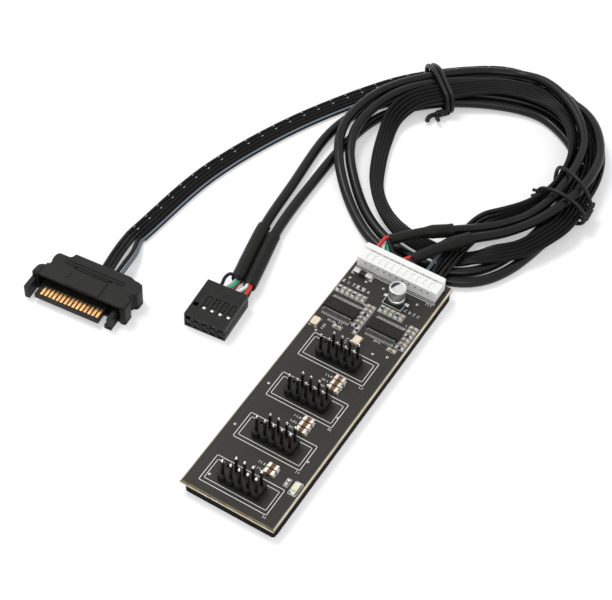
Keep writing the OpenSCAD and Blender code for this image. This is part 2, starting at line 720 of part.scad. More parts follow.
function turned(p, a) = [p.x * cos(a) - p.y * sin(a), p.x * sin(a) + p.y * cos(a), p.z];
function to_crimp(p) = turned(p, plug_turn) + [crimp_x, crimp_y, 0];
function to_drive(p) = turned(p, plug_turn) + [drive_x, drive_y, 0];
function crimp_row_z(row) = crimp_h / 2 + (row - 0.5) * pin_pitch;

// Each colour: [place in the crimp housing, cable, place in the sleeve] and
// [cable, column, row, place in the sleeve] at the crimp plug
module signal_wires(header_places, plug_places) {
    for (p = header_places) header_wire(p[1] == 0 ? path_a : path_b, wire_x[p[0]],
        (wire_x[4 * p[1]] + wire_x[4 * p[1] + 3]) / 2, p[2]);
    for (p = plug_places) crimp_wire(p[0] == 0 ? path_a : path_b, p[0] == 0 ? last_a : last_b,
        p[1], p[2], p[3]);
}

module signal_wires_red() {
    color("#c8322c") signal_wires([[0, 0, 0], [4, 1, 0]], [[0, 1, 0, 3], [1, 4, 1, 0]]);
}

module signal_wires_white() {
    color("#e8e8e4") signal_wires([[1, 0, 2], [5, 1, 2]], [[0, 2, 1, 0], [1, 3, 0, 3]]);
}

module signal_wires_green() {
    color("#2f8f6a") signal_wires([[2, 0, 3], [6, 1, 3]], [[0, 2, 0, 2], [1, 3, 1, 1]]);
}

module signal_wires_black() {
    color("#1f1f21") signal_wires([[3, 0, 1], [7, 1, 1]], [[0, 1, 1, 1], [1, 4, 0, 2]]);
}

// A power wire at the crimp housing and at the drive plug, numbered from the grey one
module power_wire(k, place, level) {
    x = wire_x[place];
    back = tongue_front + contact_l + gap;
    start = ring_at(path_ribbon, 0, [[(k - 2) * ribbon_pitch, 0]], [0, 0, 1], false)[0];
    end = ring_at(path_ribbon, last_ribbon, [[(k - 2) * ribbon_pitch, 0]], [0, 0, 1], false)[0];
    run_in = along(path_ribbon, 0, false);
    run_out = along(path_ribbon, last_ribbon, false);
    z = wire_level + level * (power_d / 2 + seat);
    fan = 0.6;
    power_dip = 1.4;
    in = to_drive([drive_wires[4 - k], drive_back - drive_wall, drive_wire_z]);
    out = to_drive([drive_wires[4 - k], drive_back + gap, drive_wire_z]);
    sweep(curve([[x, back, z], [x, flange_back, z],
        [x + fan * (start.x - x), flange_back + 5, z - power_dip],
        [start.x, flange_back + 11, 4.6], [start.x, flange_back + 15.5, 3.9], start - gap * run_in], 2),
        round_ring(power_d / 2));
    sweep(curve([end + gap * run_out, end + [0, -5, 0.7], out + [0, 5, -0.6], out, in], 2),
        round_ring(power_d / 2));
}

module power_wires_grey() {
    color("#8e99a6") power_wire(0, 8, 0);
}

module power_wires_black() {
    color("#1f1f21") {
        power_wire(1, 9, 1);
        power_wire(2, 9, -1);
        power_wire(3, 10, 1);
        power_wire(4, 10, -1);
    }
}

// Two-row crimp plug: ten through cavities, each with a latch tongue in its outer wall
module signal_plug_housing() {
    win = crimp_hole - 4 * fit;
    slit = 0.2;
    color("#232325") translate([crimp_x, crimp_y, 0]) rotate(plug_turn) difference() {
        along_y(0, crimp_l) translate([0, crimp_h / 2]) chamfered(crimp_w, crimp_h, 0.25);
        for (x = col_x) for (row = [0, 1]) {
            z = crimp_row_z(row);
            wall_z = row == 1 ? z + crimp_hole / 2 - eps : -eps;
            wall_h = crimp_h / 2 - crimp_hole / 2 - pin_pitch / 2 + 2 * eps;
            block(x, 0, z - crimp_hole / 2, crimp_hole, crimp_l + 1, crimp_hole);
            block(x, crimp_window_y, wall_z, win, 1, wall_h);
            for (s = [-1, 1]) block(x + s * (win - slit) / 2, crimp_window_y + crimp_latch_l / 2, wall_z,
                slit, crimp_latch_l, wall_h);
        }
    }
}

// Box contacts in every cavity but the keyed one
module signal_plug_contacts() {
    c = crimp_contact;
    color("#c9a24a") translate([crimp_x, crimp_y, 0]) rotate(plug_turn)
        for (i = [0 : pin_cols - 1]) for (row = [0, 1]) if (i > 0 || row == 0) difference() {
            z = crimp_row_z(row);
            y = 0.5 + crimp_contact_l / 2 - crimp_back;
            block(col_x[i], y - 0.25, z - c / 2, c, crimp_contact_l - 0.5, c);
            block(col_x[i], y, z - pin_side / 2 - fit, pin_side + 2 * fit, crimp_contact_l + 1,
                pin_side + 2 * fit);
        }
}

// Drive plug outline seen from above, from the front left corner
module drive_outline() {
    h = drive_w / 2;
    polygon(concat([[-h, 0], [-h, 2.2]],
        [for (a = [0 : 15 : 90]) [2.5 - h - 2.5 * cos(a) + 0.2, 2.2 + 1.8 * sin(a)]],
        [[-11.9, 5.6], [-12.5, 6.6], [-12.6, 7.6], [-12.2, 9.4], [-8, 9.4], [-7.5, drive_back],
            [10.4, drive_back], [12.7, 10.4], [15.1, 10.4], [15.1, 6.2], [h - 0.3, 5.2], [h, 0]]));
}

// Moulded drive plug: tongue with contact grooves, L-shaped key, guide arms and wire bores
module power_plug_housing() {
    body_h = drive_h - drive_cover_t;
    mouth = [1.5 - drive_w / 2, drive_w / 2 - 1.7];
    mouth_d = 5;
    groove = drive_contact_t - fit;
    wire_slot = power_d + 0.16;
    color("#28282a") translate([drive_x, drive_y, 0]) rotate(plug_turn) {
        difference() {
            union() {
                difference() {
                    linear_extrude(body_h) drive_outline();
                    translate([mouth.x, -1, drive_wall]) cube([mouth.y - mouth.x, mouth_d + 1, body_h]);
                }
                translate([drive_tongue.x, -tongue_reach, tongue_top_z - tongue_t])
                    cube([drive_tongue.y - drive_tongue.x, tongue_reach + mouth_d + eps, tongue_t]);
                translate([10, -3.7, 0]) cube([2.2, 3.7 + mouth_d, 1.4]);
                translate([10.8, -3.7, 0]) cube([1.4, 3.7 + mouth_d, 4.3]);
                translate([-drive_w / 2, -tongue_reach, 0]) cube([1.5, tongue_reach + eps, 4.5]);
                translate([13.1, -0.3, 0]) cube([1.4, 0.3 + eps, body_h]);
            }
            for (i = [0 : drive_n - 1]) translate([drive_contact_x + i * drive_pitch - drive_contact_w / 2 - seat,
                0.6 - tongue_reach, tongue_top_z - groove])
                cube([drive_contact_w + 2 * seat, tongue_reach + mouth_d + 1, drive_contact_t + seat]);
            for (x = drive_wires) block(x, drive_back, drive_wire_z - wire_slot / 2, wire_slot,
                3 * drive_wall, wire_slot);
        }
    }
}

module power_plug_contacts() {
    l = tongue_reach + 5;
    color("#c9a24a") translate([drive_x, drive_y, 0]) rotate(plug_turn)
        for (i = [0 : drive_n - 1]) translate([drive_contact_x + i * drive_pitch - drive_contact_w / 2,
            0.7 - tongue_reach, tongue_top_z - drive_contact_t + fit])
            cube([drive_contact_w, l, drive_contact_t]);
}

// Snap cover: a raised panel in front, three grip ribs behind and two latch holes
module power_plug_cover() {
    raised = 0.3;
    plate = drive_cover_t - raised;
    color("#28282a") translate([drive_x, drive_y, drive_h - drive_cover_t]) rotate(plug_turn) difference() {
        union() {
            linear_extrude(plate) drive_outline();
            translate([0.6, 2.95, plate]) linear_extrude(raised) chamfered(10.8, 5.9, 0.5);
            translate([-5.45, 3.5, plate]) linear_extrude(raised) square([1.3, 2], center = true);
            for (y = [6.5, 7.4, 8.3]) block(0.5, y, plate, 19, 0.5, raised);
            for (s = [-1, 1]) block(s * (drive_w / 2 - 1), 1.5, plate, 1.4, 2.6, raised);
        }
        for (x = [-5, 6.2]) translate([x, 9.6, -1]) cylinder(h = 3, d = 1.1);
    }
}

// Wire ties: each is two closed wraps round the bundle, a twisted knot and cut tails
function wrap_points(at, out, pts) = [for (p = pts) [at.x + out.x * p.x, at.y + out.y * p.x, p.y]];

module wrap(at, dir, pts) {
    d = unit([dir.x, dir.y, 0]);
    sweep(closed_curve(wrap_points(at, [d.y, -d.x], pts), 2), round_ring(tie_r), d, true);
}

module twist(at, dir, turns, l) {
    d = unit(dir);
    s = unit(cross(d, [0.1, 0.2, 1]));
    u = cross(s, d);
    n = 8 * turns;
    for (h = [0, 180]) sweep([for (i = [0 : n]) let (a = h + i * 45)
        at + d * l * i / n + (s * cos(a) + u * sin(a)) * (tie_r + seat)], round_ring(tie_r), [0.1, 0.2, 1]);
}

top_tie_at = [-28, 118.5];
top_tie_dir = [-0.68, -0.73];
top_wrap = [[-8.4, 2.6], [-8.1, 5.2], [-6.6, 6.7], [-3.4, 6.95], [-0.5, 7.2], [2, 6.9], [5.1, 6.85],
    [7.2, 6], [10.7, 3.7], [11.4, 2.3], [10.5, 0.8], [4, 0.65], [-1, 0.65], [-6.9, 0.75]];

module top_tie() {
    d = unit(top_tie_dir);
    color("#1d1d1f") {
        wrap(top_tie_at + 0.8 * d, d, top_wrap);
        wrap(top_tie_at - 0.8 * d, d, top_wrap);
        twist([-21.9, 112.8, 2.4], [3.5, -4, 0.2], 2, 5);
    }
}

right_tie_low_at = [25, 92.3];
right_tie_low_dir = [0.08, 1];
right_low_wrap = [[-6.6, 1.7], [-6.5, 7.9], [-5.3, 9.1], [-1.8, 9.5], [2.2, 9.8], [4.3, 8.9], [8.4, 7],
    [9.2, 5.6], [9, 4.2], [7.6, 3.1], [5.9, 1.5], [3.6, 0.72], [0, 0.72], [-5.7, 0.7]];
right_tie_high_at = [25, 101];
right_tie_high_dir = [0.44, 0.9];
right_high_wrap = [[-6.3, 1.7], [-6.3, 8], [-5.1, 9.3], [-1.4, 9.8], [4.1, 9.8], [6.6, 8.6], [8.9, 7],
    [9.8, 5.5], [9.5, 4.2], [8, 3], [6, 1.4], [3.8, 0.72], [0, 0.72], [-5.5, 0.7]];

module right_tie() {
    color("#1d1d1f") {
        wrap(right_tie_low_at, right_tie_low_dir, right_low_wrap);
        wrap(right_tie_high_at, right_tie_high_dir, right_high_wrap);
        twist([34.9, 91.8, 4.9], [-0.3, 5, 0.2], 2, 5.2);
    }
}

for (i = [0 : headers - 1]) {
    header_base(i);
    header_pins(i);
}
for (i = [0 : 1]) {
    hub_chip(chip_x[i]);
    hub_chip_leads(chip_x[i]);
}
foam_pad();
circuit_board();
wire_header();
wire_header_pins();
wire_plug();
wire_plug_contacts();
crystal_bases();
crystal_lids();
can_capacitor();
can_capacitor_base();
can_capacitor_feet();
input_fuse();
input_fuse_ends();
port_capacitors();
port_capacitor_ends();
small_chips();
small_chip_ends();
status_lamp();
status_lamp_ends();
signal_cable(path_a, last_a);  // signal_cable_a
signal_cable(path_b, last_b);  // signal_cable_b
power_ribbon();
header_sleeve(path_a);  // header_sleeve_a
header_sleeve(path_b);  // header_sleeve_b
plug_sleeve(path_a, last_a);  // plug_sleeve_a
plug_sleeve(path_b, last_b);  // plug_sleeve_b
signal_wires_red();
signal_wires_white();
signal_wires_green();
signal_wires_black();
power_wires_black();
power_wires_grey();
signal_plug_housing();
signal_plug_contacts();
power_plug_housing();
power_plug_cover();
power_plug_contacts();
top_tie();
right_tie();
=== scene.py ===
"""Looks of the internal header hub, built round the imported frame. Sizes are millimetres until
a mesh is made."""
import math
import random

import bpy
from mathutils import Matrix, Vector, noise


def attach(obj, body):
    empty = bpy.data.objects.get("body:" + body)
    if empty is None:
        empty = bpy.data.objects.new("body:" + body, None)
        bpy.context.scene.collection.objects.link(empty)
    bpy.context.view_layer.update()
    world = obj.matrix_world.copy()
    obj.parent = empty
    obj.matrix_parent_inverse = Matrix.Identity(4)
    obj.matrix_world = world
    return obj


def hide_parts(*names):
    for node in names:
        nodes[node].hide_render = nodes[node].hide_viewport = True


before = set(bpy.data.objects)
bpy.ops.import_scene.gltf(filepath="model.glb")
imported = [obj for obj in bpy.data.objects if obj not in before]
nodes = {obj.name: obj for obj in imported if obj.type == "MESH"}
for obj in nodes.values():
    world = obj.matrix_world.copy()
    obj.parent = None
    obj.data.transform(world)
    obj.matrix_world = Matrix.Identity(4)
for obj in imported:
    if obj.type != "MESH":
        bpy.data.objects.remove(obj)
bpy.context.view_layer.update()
draw = random.Random(7)
MM = 0.001
UP = Vector((0, 0, 1))

# Camera
CAMERA_TARGET = Vector((-18.34, 21.24, 4.4))
CAMERA_AZIMUTH, CAMERA_ELEVATION, CAMERA_ROLL = 28.87, 50.23, 3.32
CAMERA_DISTANCE = 478.95
CAMERA_LENS = 100.79

# Levels and places that repeat the model's
BOARD_W, BOARD_L, BOARD_T = 28.5, 95.3, 1.6
FOAM_T = 2.8
TOP_Z = FOAM_T + BOARD_T
SCORE = 0.35
PITCH = 2.54
HEADER_Y = [8.4 - i * 16.16 for i in range(4)]
COL_X = [(i - 2) * PITCH for i in range(5)]
PIN_TIP_Z = 12.25
WIRE_X = [-0.2 + (i - 5) * 2 for i in range(11)]
WIRE_LEVEL = 6.9
PLUG_BACK = 45.95
CONTACT_BACK = 44.0
GAP = 0.3
SEAT = 0.02
CABLE_D, LEAD_D, POWER_D = 3.0, 1.1, 1.2
RIBBON_PITCH, RIBBON_T = 1.3, 1.4
TIE_R, TOP_TIE_R = 0.6, 0.72
CRIMP_AT, DRIVE_AT, PLUG_TURN = Vector((-38.15, 5.8, 0)), Vector((-72.06, -12, 0)), math.radians(5)
HALF_W, HALF_L, CRIMP_H = 6.35, 7, 5.08  # of the crimp plug
DRIVE_WIRES, DRIVE_WIRE_Z = [0.6, 1.9, 3.2, 4.9, 6.4], 4.4
CHIP_X, CHIP_Y, CHIP_PITCH, CHIP_LEADS = (-8.2, 5.85), 23.6, 0.635, 14
CRYSTALS = ((-12.1, 16), (1, 16.3))
CAN_X, CAN_Y = 2.9, 35.1
FUSE_X, FUSE_Y = -9.6, 37.85
LAMP_X, LAMP_Y = 12.2, -33.9

ROUTE_A = [[-9, 51.5, 7], [-2, 60, 6.5], [4, 66, 5.5], [11, 73, 4.5],
    [16, 78.5, 4.8], [20.3, 84, 6], [23, 91.5, 7.2], [23.8, 100, 7.6], [23, 110, 7.2],
    [20.5, 119.5, 6.5], [14.5, 127.5, 7], [6.5, 133.5, 7], [-1.5, 137, 6],
    [-9.5, 138, 3.8], [-17, 135, 3.6], [-24.5, 129, 4.4], [-33.5, 120, 4.6],
    [-41, 109, 5], [-44.5, 98, 5], [-44.5, 86, 5], [-39, 74, 4.2], [-28.5, 62.5, 2],
    [-16, 53.5, 1.6], [-3.5, 50.5, 1.6], [7.5, 50.5, 1.6], [17.5, 55.5, 1.6],
    [24, 66, 1.6], [28, 83, 2.4], [28.5, 96, 3], [27.5, 109, 2.3], [22.5, 119.5, 1.6],
    [14, 126, 1.6], [2, 130, 1.6], [-13, 126, 2], [-29, 115.5, 2.8], [-43, 101, 1.6],
    [-48, 84, 1.6], [-46, 58, 1.6], [-44, 40, 2], [-39.5, 20, 3]]
ROUTE_B = [[0, 48.5, 7], [5, 57.5, 7], [10, 65.5, 6], [16.5, 73.5, 5],
    [22, 81, 5.8], [26, 88.5, 7.4], [28.5, 98, 7.6], [28.8, 107.5, 7.2], [27, 117, 6.5],
    [21.5, 126.5, 6], [14, 133, 4.7], [5, 135.5, 3.6], [-5, 134.5, 3.4], [-15, 131, 3.4],
    [-23.5, 125, 4], [-31, 118, 4.6], [-37, 109, 5.4], [-40.5, 99, 5.2], [-41, 88.5, 5],
    [-38, 79, 4], [-31, 70, 2.2], [-22, 61.5, 1.6], [-12.5, 56, 1.6], [-3, 53.8, 1.6],
    [7, 53.8, 1.6], [15.5, 59, 1.6], [21, 69, 1.6], [24.3, 83.5, 2.4], [25, 96, 3],
    [24.2, 107, 2.5], [21, 115.5, 1.6], [13.5, 122.5, 1.6], [2, 126.5, 1.6],
    [-12, 122.5, 2], [-26.5, 112.5, 2.8], [-38, 100, 1.6], [-41.5, 84, 1.6],
    [-41.5, 62, 1.6], [-40, 41, 2], [-35.3, 19.5, 3]]
ROUTE_RIBBON = [[7.5, 66, 2.8, 0], [7.8, 71, 1.6, 0], [9.5, 76, 2.6, 30], [13, 80.5, 3.8, 75],
    [17.5, 87, 4.5, 90], [20.5, 94.5, 4.9, 90], [21, 103, 5, 90], [20, 112, 5.7, 75],
    [15.5, 121, 6.8, 50], [8, 128, 6.2, 25], [-1.5, 130.5, 5.6, 0], [-11.5, 128, 5.6, 0],
    [-20, 121.5, 5.6, 0], [-27, 114.5, 5.4, -10], [-32, 108, 5.1, -15],
    [-34, 99.5, 4.4, -40], [-32, 90, 3.6, -50], [-28.5, 80, 3.6, -50], [-24, 71, 3.4, -50],
    [-17, 64, 2.8, -35], [-9, 60.5, 1.8, -15], [0, 59.8, 1.2, -5], [8, 60, 1.4, -8],
    [13.5, 62.5, 2.9, -20], [18.5, 66.5, 4, 0], [23.5, 72, 4, 0], [27, 79, 4.4, 0],
    [29.6, 87, 5.1, 0], [29.4, 98, 5.3, 0], [28.2, 109, 4.5, 0], [25, 118.5, 4, 0],
    [18.5, 128.5, 3, 10], [5.5, 138, 1, 0], [-7, 140, 0.8, 0], [-18, 137, 1, 0],
    [-32.5, 123.5, 2.2, 0], [-45, 110, 0.8, 0], [-60, 81, 0.8, 0], [-70, 50, 0.8, 0],
    [-73.5, 18, 0.8, 0]]


def add_camera():
    az, el, roll = (math.radians(a) for a in (CAMERA_AZIMUTH, CAMERA_ELEVATION, CAMERA_ROLL))
    back = Vector((math.sin(az) * math.cos(el), -math.cos(az) * math.cos(el), math.sin(el)))
    side = UP.cross(back).normalized()
    rise = back.cross(side)
    right = math.cos(roll) * side + math.sin(roll) * rise
    up = math.cos(roll) * rise - math.sin(roll) * side
    data = bpy.data.cameras.new("photo_camera")
    data.lens, data.sensor_width = CAMERA_LENS, 36
    data.clip_start, data.clip_end = 0.01, 20
    camera = bpy.data.objects.new("photo_camera", data)
    camera.matrix_world = (Matrix.Translation((CAMERA_TARGET + back * CAMERA_DISTANCE) * MM)
        @ Matrix((right, up, back)).transposed().to_4x4())
    bpy.context.scene.collection.objects.link(camera)
    bpy.context.scene.camera = camera


add_camera()


# Curves and sweep frames, as the model has them
def spline_point(a, b, c, d, t):
    return [0.5 * (2 * q + (r - p) * t + (2 * p - 5 * q + 4 * r - s) * t * t
        + (3 * q - p - 3 * r + s) * t ** 3) for p, q, r, s in zip(a, b, c, d)]


def curve(route, steps):
    m = len(route) - 1
    first = [2 * p - q for p, q in zip(route[0], route[1])]
    last = [2 * p - q for p, q in zip(route[m], route[m - 1])]
    p = [first] + [list(q) for q in route] + [last]
    return [spline_point(*p[i:i + 4], k / steps) for i in range(m) for k in range(steps)] + [p[m + 1]]


def closed_curve(route, steps):
    m = len(route)
    return [spline_point(*(route[(i + j) % m] for j in (-1, 0, 1, 2)), k / steps)
        for i in range(m) for k in range(steps)]


def corner_cut(points, rounds=3):
    """A polyline with its corners cut, which stays inside the polyline."""
    p = [Vector(q) for q in points]
    for _ in range(rounds):
        mid = [v for a, b in zip(p, p[1:]) for v in (a.lerp(b, 0.25), a.lerp(b, 0.75))]
        p = [p[0]] + mid[1:-1] + [p[-1]]
    return p


def vec(p):
    return Vector(p[:3])


def along(path, i, closed=False):
    m = len(path)
    if closed:
        return (vec(path[(i + 1) % m]) - vec(path[i - 1])).normalized()
    return (vec(path[min(i + 1, m - 1)]) - vec(path[max(i - 1, 0)])).normalized()


def axes(path, i, ref=UP, closed=False):
    run = along(path, i, closed)
    side = run.cross(ref).normalized()
    return side, side.cross(run)


def round_ring(r, sides=14):
    return [(r * math.cos(k * math.tau / sides), r * math.sin(k * math.tau / sides))
        for k in range(sides)]


class Build:
    """Collects the faces of one mesh, in millimetres."""

    def __init__(self):
        self.verts, self.faces, self.mats, self.uvs = [], [], [], []

    def face(self, index, mat=0, uv=None):
        self.faces.append(index)
        self.mats.append(mat)
        self.uvs.append(uv or [(0, 0)] * len(index))

    def sweep(self, path, ring, ref=UP, closed=False, mat=0, cap=True):
        """ring is one ring, or a function of the point's number that gives a ring."""
        rings = [ring(i) if callable(ring) else ring for i in range(len(path))]
        m, n, base = len(path), len(rings[0]), len(self.verts)
        reach = [0.0]
        for a, b in zip(path, path[1:] + path[:1]):
            reach.append(reach[-1] + (vec(b) - vec(a)).length)
        for i, p in enumerate(path):
            s, u = axes(path, i, ref, closed)
            a = math.radians(p[3] if len(p) > 3 else 0)
            across, rise = s * math.cos(a) - u * math.sin(a), s * math.sin(a) + u * math.cos(a)
            self.verts += [vec(p) + across * q[0] + rise * q[1] for q in rings[i]]
        for i in range(m if closed else m - 1):
            j = (i + 1) % m
            for k in range(n):
                l = (k + 1) % n
                self.face((base + i * n + k, base + j * n + k, base + j * n + l, base + i * n + l),
                    mat(k) if callable(mat) else mat,
                    [(reach[i], k / n), (reach[i + 1], k / n), (reach[i + 1], (k + 1) / n),
                        (reach[i], (k + 1) / n)])
        if cap and not closed:
            end = base + (m - 1) * n
            self.face(tuple(range(base, base + n)), mat(0) if callable(mat) else mat)
            self.face(tuple(range(end + n - 1, end - 1, -1)), mat(0) if callable(mat) else mat)

    def prism(self, outline, z0, z1, place, mat=0, top=1.0):
        """An outline drawn counter-clockwise, standing from z0 to z1; top scales its upper end."""
        n, base = len(outline), len(self.verts)
        cx, cy = (sum(c) / n for c in zip(*outline))
        self.verts += [place @ Vector((x, y, z0)) for x, y in outline]
        self.verts += [place @ Vector((cx + (x - cx) * top, cy + (y - cy) * top, z1)) for x, y in outline]
        self.face(tuple(range(base + n - 1, base - 1, -1)), mat)
        self.face(tuple(range(base + n, base + 2 * n)), mat)
        for k in range(n):
            l = (k + 1) % n
            self.face((base + k, base + l, base + n + l, base + n + k), mat)

    def box(self, x, y, z, w, l, h, turn=0, mat=0, top=1.0):
        place = Matrix.Translation((x, y, 0)) @ Matrix.Rotation(math.radians(turn), 4, "Z")
        self.prism([(-w / 2, -l / 2), (w / 2, -l / 2), (w / 2, l / 2), (-w / 2, l / 2)],
            z, z + h, place, mat, top)

    def line(self, x0, y0, x1, y1, width, h):
        """A flat line on the board."""
        run = math.hypot(x1 - x0, y1 - y0)
        self.box((x0 + x1) / 2, (y0 + y1) / 2, TOP_Z, run + width, width, h,
            math.degrees(math.atan2(y1 - y0, x1 - x0)))

    def lathe(self, profile, at, segments):
        """A profile of (radius, height) points turned round the upright line through at."""
        base, n = len(self.verts), len(profile)
        for k in range(segments):
            c, s = math.cos(k * math.tau / segments), math.sin(k * math.tau / segments)
            self.verts += [Vector((at[0] + r * c, at[1] + r * s, at[2] + z)) for r, z in profile]
        for k in range(segments):
            l = (k + 1) % segments
            for i in range(n - 1):
                self.face((base + k * n + i, base + l * n + i, base + l * n + i + 1,
                    base + k * n + i + 1))

    def object(self, name, mats, smooth=True, bevel=0, segments=2, angle=40, replaces=()):
        mesh = bpy.data.meshes.new(name)
        mesh.from_pydata([v * MM for v in self.verts], [], self.faces)
        for m in mats:
            mesh.materials.append(m)
        layer = mesh.uv_layers.new(name="UVMap")
        for poly, mat, uv in zip(mesh.polygons, self.mats, self.uvs):
            poly.material_index = mat
            poly.use_smooth = smooth
            for loop, q in zip(poly.loop_indices, uv):
                layer.data[loop].uv = q
        if smooth:
            mesh.set_sharp_from_angle(angle=math.radians(angle))
        piece = bpy.data.objects.new(name, mesh)
        bpy.context.scene.collection.objects.link(piece)
        if bevel:
            edge = piece.modifiers.new("edge", "BEVEL")
            edge.width, edge.segments, edge.limit_method = bevel * MM, segments, "ANGLE"
            edge.angle_limit = math.radians(30)
        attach(piece, "root")
        if replaces:
            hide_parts(*replaces)
        return piece


# Materials
GLOSS_SPREAD = 0.08
M = {}


def put(node, values):
    for key, value in values.items():
        node.inputs[key].default_value = value


def place_in(tree, source):
    """The three parts of a point's place, by one output of the texture coordinates."""
    parts = tree.nodes.new("ShaderNodeSeparateXYZ")
    tree.links.new(tree.nodes.new("ShaderNodeTexCoord").outputs[source], parts.inputs[0])
    return parts.outputs


def socket_noise(tree, scale, detail, stretch=None):
    coord = tree.nodes.new("ShaderNodeTexCoord").outputs["Object"]
    if stretch:
        turn = tree.nodes.new("ShaderNodeMapping")
        put(turn, {"Scale": stretch})
        tree.links.new(coord, turn.inputs["Vector"])
        coord = turn.outputs["Vector"]
    tex = tree.nodes.new("ShaderNodeTexNoise")
    put(tex, {"Scale": scale, "Detail": detail})
    tree.links.new(coord, tex.inputs["Vector"])
    return tex.outputs[0]


def spread(tree, value, low, high):
    """The middle of a noise's range, stretched to run from low to high."""
    ramp = tree.nodes.new("ShaderNodeMapRange")
    put(ramp, {"From Min": 0.3, "From Max": 0.7, "To Min": low, "To Max": high})
    tree.links.new(value, ramp.inputs["Value"])
    return ramp.outputs["Result"]


def blend(tree, fac, a, b):
    """From a to b as fac goes from 0 to 1. Both are colours or sockets."""
    mix = tree.nodes.new("ShaderNodeMix")
    mix.data_type = "RGBA"
    tree.links.new(fac, mix.inputs[0])
    for index, value in ((6, a), (7, b)):
        if isinstance(value, tuple):
            mix.inputs[index].default_value = (*value, 1)
        else:
            tree.links.new(value, mix.inputs[index])
    return mix.outputs[2]


def maths(tree, kind, a, b=None, clamp=False):
    node = tree.nodes.new("ShaderNodeMath")
    node.operation, node.use_clamp = kind, clamp
    for index, value in enumerate((a, b)):
        if isinstance(value, (int, float)):
            node.inputs[index].default_value = value
        elif value is not None:
            tree.links.new(value, node.inputs[index])
    return node.outputs[0]


def shade(colour, amount):
    return tuple(min(1.0, c * amount) for c in colour)


def finish(name, colour, rough, metal=0.0, mottle=0.12, patch=300, grain=4000, bump=0.25, depth=0.02,
        spec=0.5, subsurface=0.0, edge=0.0, over=None):
    """A surface with patches in its colour and gloss and a fine grain. edge softens its edges, and
    over(tree, colours) adds what is printed or bare, and painted highlights and shade."""
    mat = bpy.data.materials.new(name)
    mat.use_nodes = True
    tree = mat.node_tree
    bsdf = tree.nodes["Principled BSDF"]
    put(bsdf, {"Metallic": metal, "Specular IOR Level": spec})
    if subsurface:
        put(bsdf, {"Subsurface Weight": subsurface, "Subsurface Radius": (1, 0.9, 0.8),
            "Subsurface Scale": 0.6 * MM})
    patches = socket_noise(tree, patch, 3)
    colours = blend(tree, spread(tree, patches, 0, 1), shade(colour, 1 - mottle),
        shade(colour, 1 + mottle))
    if over:
        colours = over(tree, colours)
    tree.links.new(colours, bsdf.inputs["Base Color"])
    fine = socket_noise(tree, grain, 2)
    tree.links.new(spread(tree, patches, rough - GLOSS_SPREAD / 2, rough + GLOSS_SPREAD),
        bsdf.inputs["Roughness"])
    relief = tree.nodes.new("ShaderNodeBump")
    put(relief, {"Strength": bump, "Distance": depth * MM})
    tree.links.new(fine, relief.inputs["Height"])
    if edge:
        bevel = tree.nodes.new("ShaderNodeBevel")
        bevel.samples = 4
        put(bevel, {"Radius": edge * MM})
        tree.links.new(bevel.outputs[0], relief.inputs["Normal"])
    tree.links.new(relief.outputs[0], bsdf.inputs["Normal"])
    M[name] = mat


def bare_laminate(tree, mask):
    """The mask's colour on the faces, a dim rim, and bare glass laminate on the snapped edges.
    Save in front, the groove's slopes are cream laminate, brightened as a painted highlight, and the middle
    is olive; in front the slopes carry a painted shade and the middle is the bright cream."""
    geometry = tree.nodes.new("ShaderNodeNewGeometry")
    parts = tree.nodes.new("ShaderNodeSeparateXYZ")
    tree.links.new(geometry.outputs["True Normal"], parts.inputs[0])
    level = maths(tree, "ABSOLUTE", parts.outputs["Z"])
    place = place_in(tree, "Object")
    rim_x = maths(tree, "SUBTRACT", maths(tree, "ABSOLUTE", place["X"]),
        (BOARD_W / 2 - SCORE - 0.22) * MM)
    rim_y = maths(tree, "SUBTRACT", maths(tree, "ABSOLUTE", place["Y"]),
        (BOARD_L / 2 - SCORE - 0.1) * MM)
    rim = maths(tree, "GREATER_THAN", maths(tree, "MAXIMUM", rim_x, rim_y), 0.0)
    fibres = spread(tree, socket_noise(tree, 900, 4, stretch=(1, 0.25, 3)), 0, 1)
    # The laminate's cream tone, brightened into a painted highlight on the groove's slopes
    laminate_and_highlight = blend(tree, fibres, (0.56, 0.47, 0.33), (0.95, 0.88, 0.72))
    olive = blend(tree, fibres, (0.05, 0.038, 0.022), (0.17, 0.13, 0.075))
    middle = maths(tree, "LESS_THAN", level, 0.3)
    side = blend(tree, middle, laminate_and_highlight, olive)
    # Painted shade: the front's slopes are darker than the sides'
    painted_slope_shade = blend(tree, fibres, (0.09, 0.072, 0.04), (0.27, 0.22, 0.135))
    front = blend(tree, middle, painted_slope_shade, laminate_and_highlight)
    edge = blend(tree, maths(tree, "LESS_THAN", parts.outputs["Y"], -0.2), side, front)
    rimmed = blend(tree, rim, mask, (0.13, 0.11, 0.075))
    return blend(tree, maths(tree, "LESS_THAN", level, 0.95), rimmed, edge)


def pin_tip_highlight(tree, colours):
    """A painted highlight on the tips of the header pins."""
    tip = maths(tree, "GREATER_THAN", place_in(tree, "Object")["Z"], PIN_TIP_Z * MM)
    return blend(tree, tip, colours, (0.93, 0.9, 0.84))


def stripe(tree, place, middle, half, start):
    """1 on a stripe from start millimetres along the ribbon, at the share middle of the way round.
    In the ribbon's UV map, X is the millimetres and Y is the share."""
    away = maths(tree, "ABSOLUTE", maths(tree, "SUBTRACT", place["Y"], middle))
    width = maths(tree, "LESS_THAN", away, half)
    return maths(tree, "MULTIPLY", width, maths(tree, "GREATER_THAN", place["X"], start))


